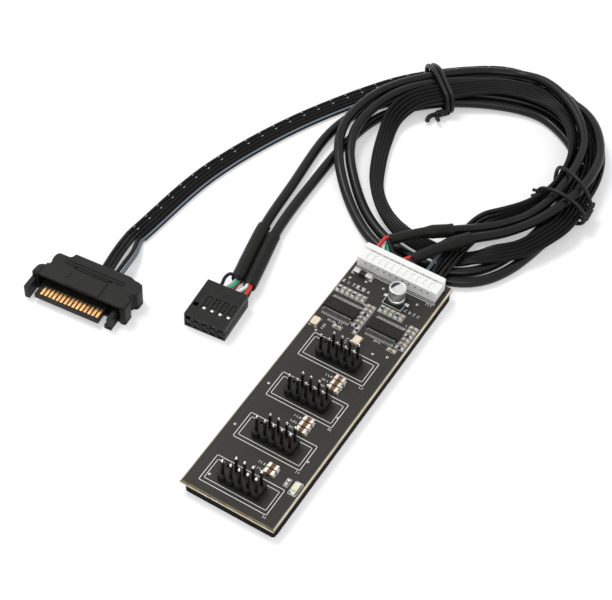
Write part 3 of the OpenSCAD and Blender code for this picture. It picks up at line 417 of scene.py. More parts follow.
def printed_dashes(tree, colours):
    """Faint light dashes along the ribbon's outer wires, two rows of them on the way to its plug."""
    step, share, half = 5.3, 0.13, 0.007
    place = place_in(tree, "UV")
    beat = maths(tree, "LESS_THAN", maths(tree, "FRACT",
        maths(tree, "DIVIDE", place["X"], step)), share)
    outer = stripe(tree, place, 0.06, half, 255.0)
    inner = stripe(tree, place, 0.15, half, 352.0)
    both = maths(tree, "MULTIPLY", beat, maths(tree, "MAXIMUM", outer, inner))
    return blend(tree, both, colours, (0.34, 0.34, 0.33))


def side_stripe(tree, colours):
    """The grey-blue stripe of the last wire, shown from the top tie to the plug."""
    shown = stripe(tree, place_in(tree, "UV"), 0.455, 0.015, 338.0)
    return blend(tree, shown, colours, (0.16, 0.19, 0.23))


finish("foam", (0.009, 0.009, 0.0095), 0.9, mottle=0.4, patch=1500, grain=3500, bump=0.9, depth=0.12,
    spec=0.12)
finish("board", (0.026, 0.024, 0.0205), 0.46, mottle=0.14, patch=120, grain=2500, bump=0.12, depth=0.01,
    spec=0.22, over=bare_laminate)
finish("trace", (0.033, 0.030, 0.026), 0.42, mottle=0.1, bump=0.1, spec=0.24)
finish("print", (0.74, 0.75, 0.73), 0.6, mottle=0.08, patch=2000, bump=0.2)
finish("header", (0.008, 0.008, 0.008), 0.36, mottle=0.2, grain=6000, bump=0.2, spec=0.22, edge=0.12)
finish("gold", (0.44, 0.35, 0.21), 0.28, metal=1, mottle=0.15, patch=900, grain=9000, bump=0.1, edge=0.06)
# The header pins are gold, darkened into a painted reflection of the dark board round them, with a painted
# highlight on their tips
finish("pin", (0.062, 0.046, 0.03), 0.3, metal=1, mottle=0.3, patch=900, grain=9000, bump=0.1, edge=0.06,
    over=pin_tip_highlight)
finish("lead", (0.16, 0.16, 0.155), 0.36, metal=1, mottle=0.14, patch=1500, grain=8000, bump=0.15)
finish("finger", (0.70, 0.38, 0.15), 0.3, metal=1, mottle=0.2, patch=700, grain=9000, bump=0.1, edge=0.05)
finish("nylon", (0.86, 0.86, 0.84), 0.42, mottle=0.03, patch=500, grain=3000, bump=0.15, spec=0.4,
    subsurface=0.35, edge=0.15)
finish("tin", (0.5, 0.5, 0.49), 0.34, metal=1, mottle=0.14, patch=1500, grain=8000, bump=0.15)
finish("solder", (0.64, 0.64, 0.62), 0.3, metal=1, patch=2500, grain=3000, bump=0.5, depth=0.03,
    edge=0.08)
finish("epoxy", (0.019, 0.0165, 0.0135), 0.5, mottle=0.25, patch=700, grain=7000, bump=0.5, depth=0.015,
    spec=0.14, edge=0.1)
finish("crystal_base", (0.22, 0.16, 0.09), 0.5, mottle=0.2, bump=0.2, edge=0.06)
finish("crystal_lid", (0.80, 0.69, 0.54), 0.36, mottle=0.1, patch=900, bump=0.2, spec=0.4, edge=0.1)
finish("can", (0.62, 0.62, 0.63), 0.3, metal=0.85, mottle=0.06, patch=600, grain=5000, bump=0.12)
finish("can_mark", (0.03, 0.03, 0.038), 0.5, mottle=0.2, bump=0.1, spec=0.3)
finish("cap_body", (0.14, 0.075, 0.038), 0.5, mottle=0.3, patch=1600, bump=0.3, spec=0.3)
finish("cap_end", (0.70, 0.64, 0.54), 0.32, metal=0.8, mottle=0.14, patch=2000, bump=0.3)
finish("beige", (0.33, 0.25, 0.16), 0.5, mottle=0.25, patch=1600, bump=0.3, spec=0.3)
finish("resistor", (0.012, 0.012, 0.013), 0.45, mottle=0.2, bump=0.2, spec=0.3)
finish("fuse", (0.02, 0.018, 0.016), 0.5, mottle=0.2, bump=0.2, spec=0.25, edge=0.08)
finish("lamp", (0.78, 0.75, 0.56), 0.22, mottle=0.05, bump=0.1, subsurface=0.4, edge=0.15)
finish("jacket", (0.0042, 0.0042, 0.004), 0.29, mottle=0.2, patch=140, grain=2600, spec=0.24)
finish("ribbon", (0.0038, 0.0038, 0.0038), 0.34, mottle=0.2, patch=140, grain=2600, spec=0.13,
    over=printed_dashes)
finish("striped", (0.0042, 0.0044, 0.0048), 0.34, mottle=0.2, patch=140, grain=2600, spec=0.15,
    over=side_stripe)
finish("sleeve", (0.0105, 0.0112, 0.0098), 0.44, mottle=0.3, patch=500, grain=1200, bump=0.6, depth=0.08,
    spec=0.15)
finish("red", (0.60, 0.03, 0.028), 0.34, mottle=0.1, grain=3000, bump=0.2)
finish("white", (0.82, 0.82, 0.78), 0.36, mottle=0.04, grain=3000, bump=0.2)
finish("green", (0.02, 0.36, 0.20), 0.34, mottle=0.1, grain=3000, bump=0.2)
finish("black", (0.004, 0.004, 0.0042), 0.3, mottle=0.15, grain=3000, bump=0.2, spec=0.18)
finish("grey", (0.085, 0.11, 0.14), 0.33, grain=3000, bump=0.2)
finish("plug", (0.0085, 0.0085, 0.0078), 0.42, mottle=0.22, patch=500, grain=2600, bump=0.45, depth=0.03,
    spec=0.18, edge=0.18)
finish("crimp", (0.0085, 0.0085, 0.008), 0.38, mottle=0.2, patch=500, grain=3500, bump=0.3, spec=0.19,
    edge=0.12)
finish("tie", (0.006, 0.006, 0.0062), 0.36, mottle=0.15, patch=400, grain=2500, bump=0.3, spec=0.24)

DRESSED = {
    "circuit_board": "board", "wire_header": "nylon", "wire_header_pins": "gold", "wire_plug": "nylon",
    "wire_plug_contacts": "tin", "hub_chip_1": "epoxy", "hub_chip_2": "epoxy",
    "hub_chip_1_leads": "lead", "hub_chip_2_leads": "lead", "crystal_bases": "crystal_base",
    "crystal_lids": "crystal_lid", "can_capacitor_base": "header", "can_capacitor_feet": "solder",
    "input_fuse": "fuse", "input_fuse_ends": "solder", "status_lamp": "lamp",
    "status_lamp_ends": "solder", "signal_plug_contacts": "tin", "power_plug_contacts": "finger",
    **{f"header_{i}_base": "header" for i in range(1, 5)},
    **{f"header_{i}_pins": "pin" for i in range(1, 5)},
}
for node, key in DRESSED.items():
    piece = nodes[node]
    if not piece.material_slots:
        piece.data.materials.append(M[key])
    for place in piece.material_slots:
        place.material = M[key]

# Cord routes in the model's steps and in finer ones. Sleeve and jacket ends count route points
FINE = 8
JACKET_START = 1.5
SLEEVE_END = 2.05
CAD_A, CAD_B, CAD_RIBBON = curve(ROUTE_A, 2), curve(ROUTE_B, 2), curve(ROUTE_RIBBON, 2)
FINE_A, FINE_B, FINE_RIBBON = curve(ROUTE_A, FINE), curve(ROUTE_B, FINE), curve(ROUTE_RIBBON, FINE)


# Signal and power leads at both ends of the cords
def turned(p, at):
    return Matrix.Rotation(PLUG_TURN, 4, "Z") @ Vector(p) + at


def quad(path, i, k):
    """The place of lead k of the four that lie two by two in a cable."""
    s, u = axes(path, i)
    return vec(path[i]) + (LEAD_D / 2 + SEAT) * (s * (-1 if k % 2 == 0 else 1) + u * (1 if k < 2 else -1))


def header_wire(path, place, middle, k):
    """A lead from its contact in the white housing to the mouth of its sleeve."""
    level = WIRE_LEVEL + (1 if k < 2 else -1) * (LEAD_D / 2 + SEAT)
    run = along(path, 0)
    normal = (run + (vec(path[0]) - Vector((middle, PLUG_BACK + GAP, WIRE_LEVEL))).normalized()).normalized()
    first = quad(path, 0, k)
    mouth = first - run * (0.95 + (first - vec(path[0])).dot(normal) / run.dot(normal))
    x = WIRE_X[place]
    points = [Vector((x, CONTACT_BACK + GAP, WIRE_LEVEL)), Vector((x, PLUG_BACK + GAP, level)), mouth]
    return corner_cut(points + [quad(path, i, k) for i in range(4)])


def crimp_wire(path, col, row, k):
    """A lead from the sleeve's other end into its hole in the crimp plug."""
    z = PITCH + (row - 0.5) * PITCH
    last = len(path) - 1
    end, run = quad(path, last, k), along(path, last)
    return corner_cut([end - 2 * run, end + 2.4 * run, end + 3 * run,
        turned((COL_X[col], HALF_L + GAP, z), CRIMP_AT), turned((COL_X[col], 3, z), CRIMP_AT)])


# Each colour's leads: (header place, cable, k) and (cable, column, row, k) at the crimp plug
LEADS = {
    "red": ([(0, 0, 0), (4, 1, 0)], [(0, 2, 0, 2), (1, 4, 1, 0)]),
    "white": ([(1, 0, 2), (5, 1, 2)], [(0, 1, 0, 3), (1, 3, 1, 1)]),
    "green": ([(2, 0, 3), (6, 1, 3)], [(0, 2, 1, 0), (1, 3, 0, 3)]),
    "black": ([(3, 0, 1), (7, 1, 1)], [(1, 4, 0, 2)]),
}
BLACK_LOOP = [(-40.7, 8.5, 3.8), (-41.2, 12.2, 3.8), (-41.35, 13.9, 4.3), (-41.5, 15.4, 5),
    (-40.8, 16.9, 5.5), (-38.9, 17.3, 5.3), (-37.9, 17.6, 4.4), (-38.3, 19.5, 3.8), (-38.9, 22, 3.3)]
cable_paths = (CAD_A, CAD_B)
for colour, (header_places, plug_places) in LEADS.items():
    b = Build()
    for place, cable, k in header_places:
        middle = (WIRE_X[4 * cable] + WIRE_X[4 * cable + 3]) / 2
        b.sweep(header_wire(cable_paths[cable], place, middle, k), round_ring(LEAD_D / 2))
    for cable, col, row, k in plug_places:
        b.sweep(crimp_wire(cable_paths[cable], col, row, k), round_ring(LEAD_D / 2))
    if colour == "black":
        b.sweep(curve(BLACK_LOOP, 5), round_ring(LEAD_D / 2 - 0.05))
    b.object(f"signal_leads_{colour}", [M[colour]],
        replaces=[f"signal_wires_{colour}"])


def power_wire(b, k, place, level):
    """Both ends of the ribbon's wire k: from its place in the white housing, and to the drive plug."""
    x = WIRE_X[place]
    z = WIRE_LEVEL + level * (POWER_D / 2 + SEAT)
    last = len(CAD_RIBBON) - 1
    ends = []
    for i in (0, last):
        s, _ = axes(CAD_RIBBON, i)
        ends.append(vec(CAD_RIBBON[i]) + s * (k - 2) * RIBBON_PITCH)
    start, end = ends
    run_in, run_out = along(CAD_RIBBON, 0), along(CAD_RIBBON, last)
    plug_x = DRIVE_WIRES[4 - k]
    inside, out = (turned((plug_x, y, DRIVE_WIRE_Z), DRIVE_AT) for y in (9.9, 11.4))
    b.sweep(curve([[x, CONTACT_BACK + GAP, z], [x, PLUG_BACK, z],
        [x + 0.6 * (start.x - x), PLUG_BACK + 5, z - 1.4], [start.x, PLUG_BACK + 11, 4.6],
        [start.x, PLUG_BACK + 15.5, 3.9], start + 0.4 * run_in], 6), round_ring(POWER_D / 2))
    axis = (out - inside).normalized()
    sag = Vector((0.5 if k < 2 else -0.3, 0, 0.3))
    b.sweep(curve([end - 0.4 * run_out, end + 1.5 * run_out, end.lerp(out, 0.4) + sag,
        out.lerp(end, 0.3) + 0.6 * sag, out + 1.2 * axis, out, inside], 6), round_ring(POWER_D / 2))


b = Build()
power_wire(b, 0, 8, 0)
leads_grey = b.object("power_leads_grey", [M["grey"]], replaces=["power_wires_grey"])
b = Build()
for k, place, level in ((1, 9, 1), (2, 9, -1), (3, 10, 1), (4, 10, -1)):
    power_wire(b, k, place, level)
leads_black = b.object("power_leads_black", [M["black"]], replaces=["power_wires_black"])

# Cables, their shrunk sleeves and the ribbon
SLEEVE_SIDES, WRINKLE = 24, 0.07
ANGLES = [k * math.tau / SLEEVE_SIDES for k in range(SLEEVE_SIDES)]


def crinkled(path, radius):
    """Rings of a shrunk sleeve: radius(share of its length), with shallow wrinkles."""
    def ring(i):
        share = i / (len(path) - 1)
        p = vec(path[i])
        out = []
        for a in ANGLES:
            wrinkle = noise.noise(Vector((p.x * 0.35, p.y * 0.35, a * 1.3))) * WRINKLE
            wrinkle += noise.noise(Vector((p.x * 1.1, p.y * 1.1, math.cos(a) * 2.2 + 7))) * WRINKLE * 0.6
            r = radius(share) + wrinkle
            out.append((r * math.cos(a), r * math.sin(a)))
        return out
    return ring


def sleeve_object(name, path, radius, inner, node):
    """A wrinkled tube with a rim and a short inner wall at both ends, kept above the floor."""
    b = Build()
    b.sweep(path, crinkled(path, radius), cap=False)
    last = len(path) - 1
    for end, into in ((0, 2), (last, last - 2)):
        base = len(b.verts)
        s, u = axes(path, end)
        for i in (end, into):
            b.verts += [vec(path[i]) + s * inner * math.cos(a) + u * inner * math.sin(a) for a in ANGLES]
        outer = end * SLEEVE_SIDES
        deep = base + SLEEVE_SIDES
        for k in range(SLEEVE_SIDES):
            l = (k + 1) % SLEEVE_SIDES
            rim = (outer + k, outer + l, base + l, base + k)
            wall = (base + k, base + l, deep + l, deep + k)
            b.face(rim if end == 0 else rim[::-1])
            b.face(wall if end == 0 else wall[::-1])
    for v in b.verts:
        v.z = max(v.z, SEAT)
    return b.object(name, [M["sleeve"]], angle=50, replaces=[node])


def header_radius(share):
    """Narrow round the leads, and wider from its middle on, where the jacket is inside."""
    t = min(1, max(0, (share - 0.5) / 0.12))
    return 1.6 + 0.42 * t * t * (3 - 2 * t) + (0.08 if share > 0.97 else 0)


def plug_radius(share):
    return 1.93 + 0.1 * math.sin(share * math.pi) - 0.08 * (share > 0.93)


cables, sleeves = [], []
for letter, fine in (("a", FINE_A), ("b", FINE_B)):
    jacket = fine[int(JACKET_START * FINE):]
    b = Build()
    b.sweep(jacket, round_ring(CABLE_D / 2, 20))
    cables.append((b.object(f"cable_{letter}", [M["jacket"]],
        replaces=[f"signal_cable_{letter}"]), jacket))
    end = vec(fine[-1])
    run = (end - vec(fine[-2])).normalized()
    tail = [vec(p) for p in fine[-FINE - (letter == "a"):]] + [end + run * d for d in (0.7, 1.4, 2)]
    sleeves.append([
        sleeve_object(f"sleeve_{letter}_header", [vec(p) for p in fine[:int(SLEEVE_END * FINE) + 1]],
            header_radius, 1.42, f"header_sleeve_{letter}"),
        sleeve_object(f"sleeve_{letter}_plug", tail, plug_radius, 1.45, f"plug_sleeve_{letter}")])


def ribbon_ring():
    """Five round wires side by side, once round them all, and the wire that each point is on."""
    ring, owner = [], []
    samples = 5
    r, phi = RIBBON_T / 2 - 0.03, math.radians(17)
    for top in (True, False):
        for k in (4, 3, 2, 1, 0) if top else (0, 1, 2, 3, 4):
            if top:
                low, high = phi if k < 4 else 0, math.pi - phi if k > 0 else math.pi
            else:
                low, high = math.pi + (0 if k == 0 else phi), math.tau - (0.25 if k == 4 else phi)
            for j in range(samples):
                a = low + (high - low) * j / (samples - 1 if k not in (0, 4) else samples)
                ring.append(((k - 2) * RIBBON_PITCH + r * math.cos(a), r * math.sin(a)))
                owner.append(k)
    return ring, owner


ring, owner = ribbon_ring()
b = Build()
b.sweep(FINE_RIBBON, ring, mat=lambda k: 1 if owner[k] == 0 else 0)
ribbon = b.object("ribbon", [M["ribbon"], M["striped"]], replaces=["power_ribbon"])

# Drive plug: body and snap cover
RIGHT, LEFT, BACK_Y = 14.8, 15.2, 11.1
BODY_TOP, COVER_Z, COVER_TOP, RIB_TOP = 5.99, 6, 6.7, 7
MOUTH_BACK, WALL_T = 5.2, 0.6
place = Matrix.Translation(DRIVE_AT) @ Matrix.Rotation(PLUG_TURN, 4, "Z")
outline = [(-LEFT, 0), (RIGHT, 0), (RIGHT, 3), (14.4, 3.6), (13.6, 4.3), (13.5, 5.1), (14, 5.9),
    (14.9, 6.3), (15.1, 7.1), (15.1, 9), (14.5, 10), (13.1, 10.4), (12, 10.5), (10.4, BACK_Y),
    (-7.5, BACK_Y), (-8, 9.7), (-8.7, 9.4), (-11.6, 9.4), (-12.3, 8.9), (-12.6, 7.6), (-12.5, 6.6),
    (-12.2, 5.5)]
outline += [(2.7 - LEFT - 2.5 * math.cos(math.radians(a)), 2.2 + 1.8 * math.sin(math.radians(a)))
    for a in range(90, -1, -15)]


def clipped(points, axis, limit, keep):
    """The part of an outline past a line, on the side that keep's sign gives."""
    out = []
    for p, q in zip(points, points[1:] + points[:1]):
        inside_p, inside_q = (p[axis] - limit) * keep >= 0, (q[axis] - limit) * keep >= 0
        if inside_p:
            out.append(p)
        if inside_p != inside_q:
            t = (limit - p[axis]) / (q[axis] - p[axis])
            out.append((p[0] + (q[0] - p[0]) * t, p[1] + (q[1] - p[1]) * t))
    return out


def plug_box(b, x0, x1, y0, y1, z0, z1):
    """A box in the frame of the plug that place stands for."""
    b.prism([(x0, y0), (x1, y0), (x1, y1), (x0, y1)], z0, z1, place)


b = Build()
b.prism(outline, 0, 2 * WALL_T, place)
b.prism(clipped(outline, 1, 5, 1), WALL_T, BODY_TOP, place)
for side_x, sign in ((-13.3, -1), (13.1, 1)):
    side_wall = clipped(clipped(outline, 0, side_x, sign), 1, MOUTH_BACK, -1)
    b.prism(side_wall, WALL_T, BODY_TOP, place)
# Tongue, mouth's roof, its back, a thin dark plate over the contacts' rear part as painted shade of the
# cover, key in two boxes, left latch arm, right one
for box in ((-12.1, 8.4, -4.3, MOUTH_BACK, 1.5, 3), (-13.4, 13.2, 0.7, MOUTH_BACK, 4.9, BODY_TOP),
        (-13.4, 13.2, 2.4, MOUTH_BACK, 2.9, 5.9), (-12.1, 8.4, -0.5, MOUTH_BACK, 2.98, 3.3),
        (10, 12.2, -3.7, MOUTH_BACK, 0, 1.4), (10.8, 12.2, -3.7, MOUTH_BACK, WALL_T, 4.3),
        (-LEFT - 0.2, -13.9, -4.3, WALL_T, 0, 4.5), (13.1, 14.5, -0.3, WALL_T, 0, COVER_Z)):
    plug_box(b, *box)
for x in DRIVE_WIRES:
    plug_box(b, x - 0.72, x + 0.72, BACK_Y - 0.3, BACK_Y + 0.2, DRIVE_WIRE_Z - 0.8, DRIVE_WIRE_Z + 0.8)
plug_body = b.object("plug_body", [M["plug"]], bevel=0.16, segments=3,
    replaces=["power_plug_housing"])
b = Build()
b.prism(outline, COVER_Z, COVER_TOP, place)
# Raised panel, small block beside it, three grip ribs and a block at each end
raised = [(-4.8, 6, 0.1, 5.9, RIB_TOP), (-6.1, -4.9, 2.5, 4.5, 6.9)]
raised += [(x0, x1, y - 0.24, y + 0.24, RIB_TOP) for y, x0, x1 in
    ((6.4, -4.3, 5.5), (7.25, -9, 10), (8.3, -9, 10))]
raised += [(s * 13.8 - 0.7, s * 13.8 + 0.7, 0.2, 2.8, 6.95) for s in (-1, 1)]
for x0, x1, y0, y1, top in raised:
    plug_box(b, x0, x1, y0, y1, COVER_TOP - 0.1, top)
plug_cover = b.object("plug_cover", [M["plug"]], bevel=0.14, segments=3,
    replaces=["power_plug_cover"])
# Black discs at the cover's two holes: painted shade for the holes' insides
b = Build()
for x in (-5, 6.2):
    b.lathe([(0.001, 0.02), (0.5, 0.02), (0.55, 0.0)], place @ Vector((x, 6.7, COVER_TOP)), 20)
cover_hole_shade = b.object("cover_hole_shade", [M["foam"]])

# Crimp plug: plates and walls round ten cavities, with latch tongues cut in the top plate
HOLE, LID_Z = 0.75, 4.56
WINDOW, TONGUE_BACK, SLIT = (-3.15, -1.8), 1.8, 0.24
place = Matrix.Translation(CRIMP_AT) @ Matrix.Rotation(PLUG_TURN, 4, "Z")
edges = [-HALF_W] + [x + s * HOLE for x in COL_X for s in (-1, 1)] + [HALF_W]
walls = list(zip(edges[::2], edges[1::2]))
b = Build()
for z0, z1 in ((0, 0.52), (2.02, 3.06)):
    plug_box(b, -HALF_W, HALF_W, -HALF_L, HALF_L, z0, z1)
for x0, x1 in walls:
    plug_box(b, x0, x1, -HALF_L, HALF_L, 0.5, LID_Z + 0.01)
for y0, y1 in ((-HALF_L, WINDOW[0]), (TONGUE_BACK, HALF_L)):
    plug_box(b, -HALF_W, HALF_W, y0, y1, LID_Z, CRIMP_H)
for x0, x1 in walls:
    plug_box(b, x0, x1, WINDOW[0], TONGUE_BACK, LID_Z, CRIMP_H)
plug_box(b, COL_X[0] - HOLE, COL_X[0] + HOLE, WINDOW[1], TONGUE_BACK, LID_Z, CRIMP_H)
for x in COL_X[1:]:
    plug_box(b, x - HOLE + SLIT, x + HOLE - SLIT, WINDOW[1], TONGUE_BACK - SLIT, LID_Z + 0.04,
        CRIMP_H - 0.04)
crimp_body = b.object("crimp_body", [M["crimp"]], smooth=False,
    replaces=["signal_plug_housing"])

b = Build()
for x in COL_X[1:]:
    lance = [(x - 0.55, -3.05), (x + 0.55, -3.05), (x + 0.55, -2.05), (x - 0.55, -2.05)]
    b.prism(lance, 3.6, 4.72, place, top=0.8)
crimp_lances = b.object("crimp_lances", [M["solder"]], bevel=0.06)

# Wire ties: the wraps' points are (across the bundle, height)
TOP_WRAP = [[-8.4, 2.4], [-8.3, 5], [-6.9, 6.9], [-3.4, 7.2], [-0.5, 7.35], [2, 7.3], [5.1, 7],
    [7.6, 6], [10.6, 4], [11.4, 2.3], [10.3, 0.8], [4, 0.74], [-1, 0.74], [-6.9, 0.8]]
LOW_WRAP = [[-6.4, 1.6], [-6.9, 4.8], [-6.3, 8], [-3.4, 9.7], [0.6, 10.3], [4.6, 9.7], [7.9, 7.7],
    [9.3, 5.4], [8.6, 3], [5.6, 1.25], [0.6, 0.72], [-4.4, 0.72]]
HIGH_WRAP = [[-6.2, 1.6], [-6.7, 4.8], [-5.9, 8.2], [-2.6, 10], [1.6, 10.5], [5.6, 9.8], [8.6, 7.7],
    [9.8, 5.3], [8.8, 2.8], [5.6, 1.2], [0.6, 0.72], [-4.2, 0.72]]


def wrap(b, at, run, points, r):
    """One closed turn round the cords, which run along run at this place."""
    d = Vector((run[0], run[1], 0)).normalized()
    line = [[at[0] + d.y * w, at[1] - d.x * w, z] for w, z in points]
    b.sweep(closed_curve(line, 6), round_ring(r, 12), ref=d, closed=True)


def twist(b, at, run, turns, reach, r):
    """Two strands twisted round each other from at, reach millimetres along run."""
    steps, ref = 14, Vector((0.1, 0.2, 1))
    at, d = Vector(at), Vector(run).normalized()
    s = d.cross(ref).normalized()
    u = s.cross(d)
    count = steps * turns
    for phase in (0, math.pi):
        line = []
        for i in range(count + 1):
            a = phase + i * math.tau / steps
            line.append(at + d * reach * i / count + (s * math.cos(a) + u * math.sin(a)) * (r + SEAT))
        b.sweep(line, round_ring(r, 12), ref=ref)


def strand(b, points, r):
    b.sweep(curve(points, 5), round_ring(r, 12))


TOP_AT, WRAP_STEP = Vector((-28, 118.5, 0)), 0.8
top_run = Vector((-0.68, -0.73, 0)).normalized()
b = Build()
for side in (WRAP_STEP, -WRAP_STEP):
    wrap(b, TOP_AT + side * top_run, top_run, TOP_WRAP, TOP_TIE_R)
twist(b, (-22.2, 112.3, 1.9), (-3.1, -4.1, -0.1), 2, 4, 0.62)
strand(b, [[-24.9, 109.2, 1.6], [-25.6, 108.2, 1.6], [-26, 106.9, 1.5], [-25.7, 105.6, 1.3]], 0.75)
strand(b, [[-24.2, 108.9, 1.9], [-23.6, 107.7, 2.2], [-22.4, 107, 2]], 0.6)
strand(b, [[-24.9, 109.4, 1.9], [-23.7, 109.6, 2.6], [-22.5, 109.3, 2.9]], 0.5)
tie_top = b.object("tie_top", [M["tie"]], replaces=["top_tie"])

b = Build()
wrap(b, (25, 92.3, 0), (0.08, 1), LOW_WRAP, TIE_R)
wrap(b, (25, 101, 0), (0.44, 0.9), HIGH_WRAP, TIE_R)
twist(b, (34.1, 91.6, 4.9), (-0.3, 5, 0.2), 2, 5, TIE_R)
strand(b, [[19.2, 92.6, 7.2], [18.2, 92.1, 7.5], [16.8, 91.9, 7.3]], 0.5)
strand(b, [[19.2, 92.2, 6.6], [18.3, 91.2, 6.7], [17.2, 90.2, 6.3]], 0.5)
strand(b, [[33.9, 96.4, 5.2], [34.1, 97.4, 5.6], [33.8, 98.2, 5.9]], 0.62)
tie_right = b.object("tie_right", [M["tie"]], replaces=["right_tie"])

# The cords' exits and paths in metres, worked out and left unused
EXITS = [(x, 46, WIRE_LEVEL) for x in (-7.2, 0.8, 8.8)]


def metres(path):
    return [vec(p) * MM for p in path]


vec(EXITS[0]) * MM
metres(cables[0][1])
vec(EXITS[1]) * MM
metres(cables[1][1])
vec(EXITS[2]) * MM
metres(FINE_RIBBON)

# Foam: rings of (height, inset), ragged by noise
FOAM_X, FOAM_HALF_W, FOAM_HALF_L, FOAM_R = 0.45, 13.8, 47.25, 1.5
FOAM_LEVELS = [(0, 0.16), (0.25, 0.03), (0.9, 0), (1.6, 0.05), (2.3, 0), (2.62, 0.04), (FOAM_T, 0.14)]
foam_ring = []
for cx, cy, start in ((1, 1, 0), (-1, 1, 90), (-1, -1, 180), (1, -1, 270)):
    for a in range(0, 91, 15):
        t = math.radians(start + a)
        foam_ring.append((FOAM_X + cx * (FOAM_HALF_W - FOAM_R) + FOAM_R * math.cos(t),
            cy * (FOAM_HALF_L - FOAM_R) + FOAM_R * math.sin(t)))
full = []
for (x0, y0), (x1, y1) in zip(foam_ring, foam_ring[1:] + foam_ring[:1]):
    count = max(1, int(math.hypot(x1 - x0, y1 - y0) / 1.2))
    full += [(x0 + (x1 - x0) * j / count, y0 + (y1 - y0) * j / count) for j in range(count)]


def outward(offset, half):
    """The sign of an offset that is at the foam's side, and otherwise 0."""
    return math.copysign(1, offset) if abs(offset) > half else 0


b = Build()
for z, inset in FOAM_LEVELS:
    for x, y in full:
        ragged = inset + 0.05 * noise.noise(Vector((x * 1.7, y * 1.7, z * 3)))
        side = Vector((outward(x - FOAM_X, FOAM_HALF_W - 0.1), outward(y, FOAM_HALF_L - 0.15), 0))
        b.verts.append(Vector((x, y, z)) - side * max(0, ragged))
n, top = len(full), len(FOAM_LEVELS) - 1
for i in range(top):
    for k in range(n):
        l = (k + 1) % n
        b.face((i * n + k, i * n + l, (i + 1) * n + l, (i + 1) * n + k))
b.face(tuple(range(n - 1, -1, -1)))
b.face(tuple(range(top * n, (top + 1) * n)))
foam = b.object("foam_slab", [M["foam"]], angle=50, replaces=["foam_pad"])

# Board print: boxes round the headers, part outlines and plain marks
INK = 0.02
b = Build()


def frame_lines(x0, y0, x1, y1, width):
    for a, c in (((x0, y0), (x1, y0)), ((x1, y0), (x1, y1)), ((x1, y1), (x0, y1)), ((x0, y1), (x0, y0))):
        b.line(*a, *c, width, INK)


def marks(x, y, count, turn=0, step=0.75, size=0.55):
    """A row of small plain strokes of four kinds, drawn by chance, in place of part names."""
    c, s = math.cos(math.radians(turn)), math.sin(math.radians(turn))
    for i in range(count):
        px, py = x + i * step * c, y + i * step * s
        kind = draw.randrange(4)
        half = size / 2
        strokes = [((0, -half), (0, half))]
        if kind == 1:
            strokes.append(((0, half), (size * 0.55, half)))
        elif kind == 2:
            strokes.append(((0, -half), (size * 0.55, -half)))
        elif kind == 3:
            strokes.append(((size * 0.5, -half), (size * 0.5, half)))
        for (ax, ay), (bx, by) in strokes:
            b.line(px + ax * c - ay * s, py + ax * s + ay * c, px + bx * c - by * s, py + bx * s + by * c,
                0.13, INK)


# Small parts lie in rows of one step, port capacitors in front of the three rear headers
STEP = 1.6
SMALL = [(x, y + i * STEP, 0) for x, y in ((-1.75, 20.9), (12.05, 20.6)) for i in range(6)]
SMALL += [(x + i * STEP, 30.1, 90) for x, count in ((-12.9, 6), (1, 5)) for i in range(count)]
SMALL += [(10.6, 18.7, 0), (-1, 19.4, 90), (-6.1, 17.7, 0), (9.5, -33.4, 90), (-7.6, 33.3, 0)]
PORT_CAPS = [(4.1, HEADER_Y[i] - lead - k * 1.9) for i, (lead, n) in
    enumerate(((6.4, 3), (6.4, 3), (7.8, 2))) for k in range(n)]

for low in (3.80, -12.51, -28.56, -44.69):
    frame_lines(-10.34, low, 10.14, low + 8.92, 0.2)
    frame_lines(-9.45, low + 1.15, 9.25, low + 7.77, 0.18)
    marks(9.6, low - 0.75, 2, 0, 0.7, 0.6)
frame_lines(-13.0, 39.1, 12.6, 39.7, 0.16)
marks(10.6, 38.4, 3)
for x, y, turn in SMALL:
    w, l = (2.7, 1.25) if turn == 0 else (1.25, 2.7)
    frame_lines(x - w / 2, y - l / 2, x + w / 2, y + l / 2, 0.1)
for i in range(6):
    marks(-13.1 + i * STEP, 32.9, 2, 90, 0.62, 0.5)
for i in range(5):
    marks(5.6 + i * 1.35, 32.7, 2, 90, 0.62, 0.5)
for x, y, count in ((-3.9, 20.8, 2), (9.75, 20.5, 1)):
    for i in range(6):
        marks(x, y + i * STEP, count, 0, 0.6, 0.5)
for x, y, count, turn in ((-9.6, 18.7, 4, 0), (-6.4, 19.3, 2, 0), (4.9, 19.2, 3, 0), (-9.4, 14.9, 3, 90),
        (-1.6, 14.2, 3, 90)):
    marks(x, y, count, turn)
for x, y in PORT_CAPS:
    marks(x - 4.3, y, 3)
frame_lines(LAMP_X - 1.1, LAMP_Y - 2.2, LAMP_X + 1.1, LAMP_Y + 2.2, 0.14)
for s in (-1, 1):
    b.line(CAN_X - 3 * s, 32.3, CAN_X - 3 * s, 34.2, 0.16, INK)
b.line(CAN_X - 2.8, 32.2, CAN_X + 2.8, 32.2, 0.16, INK)
for cx in CHIP_X:
    for y in (CHIP_Y - 2.25, CHIP_Y + 2.25):
        b.line(cx - 4.9, y, cx + 4.9, y, 0.1, INK)
b.object("board_print", [M["print"]], smooth=False)

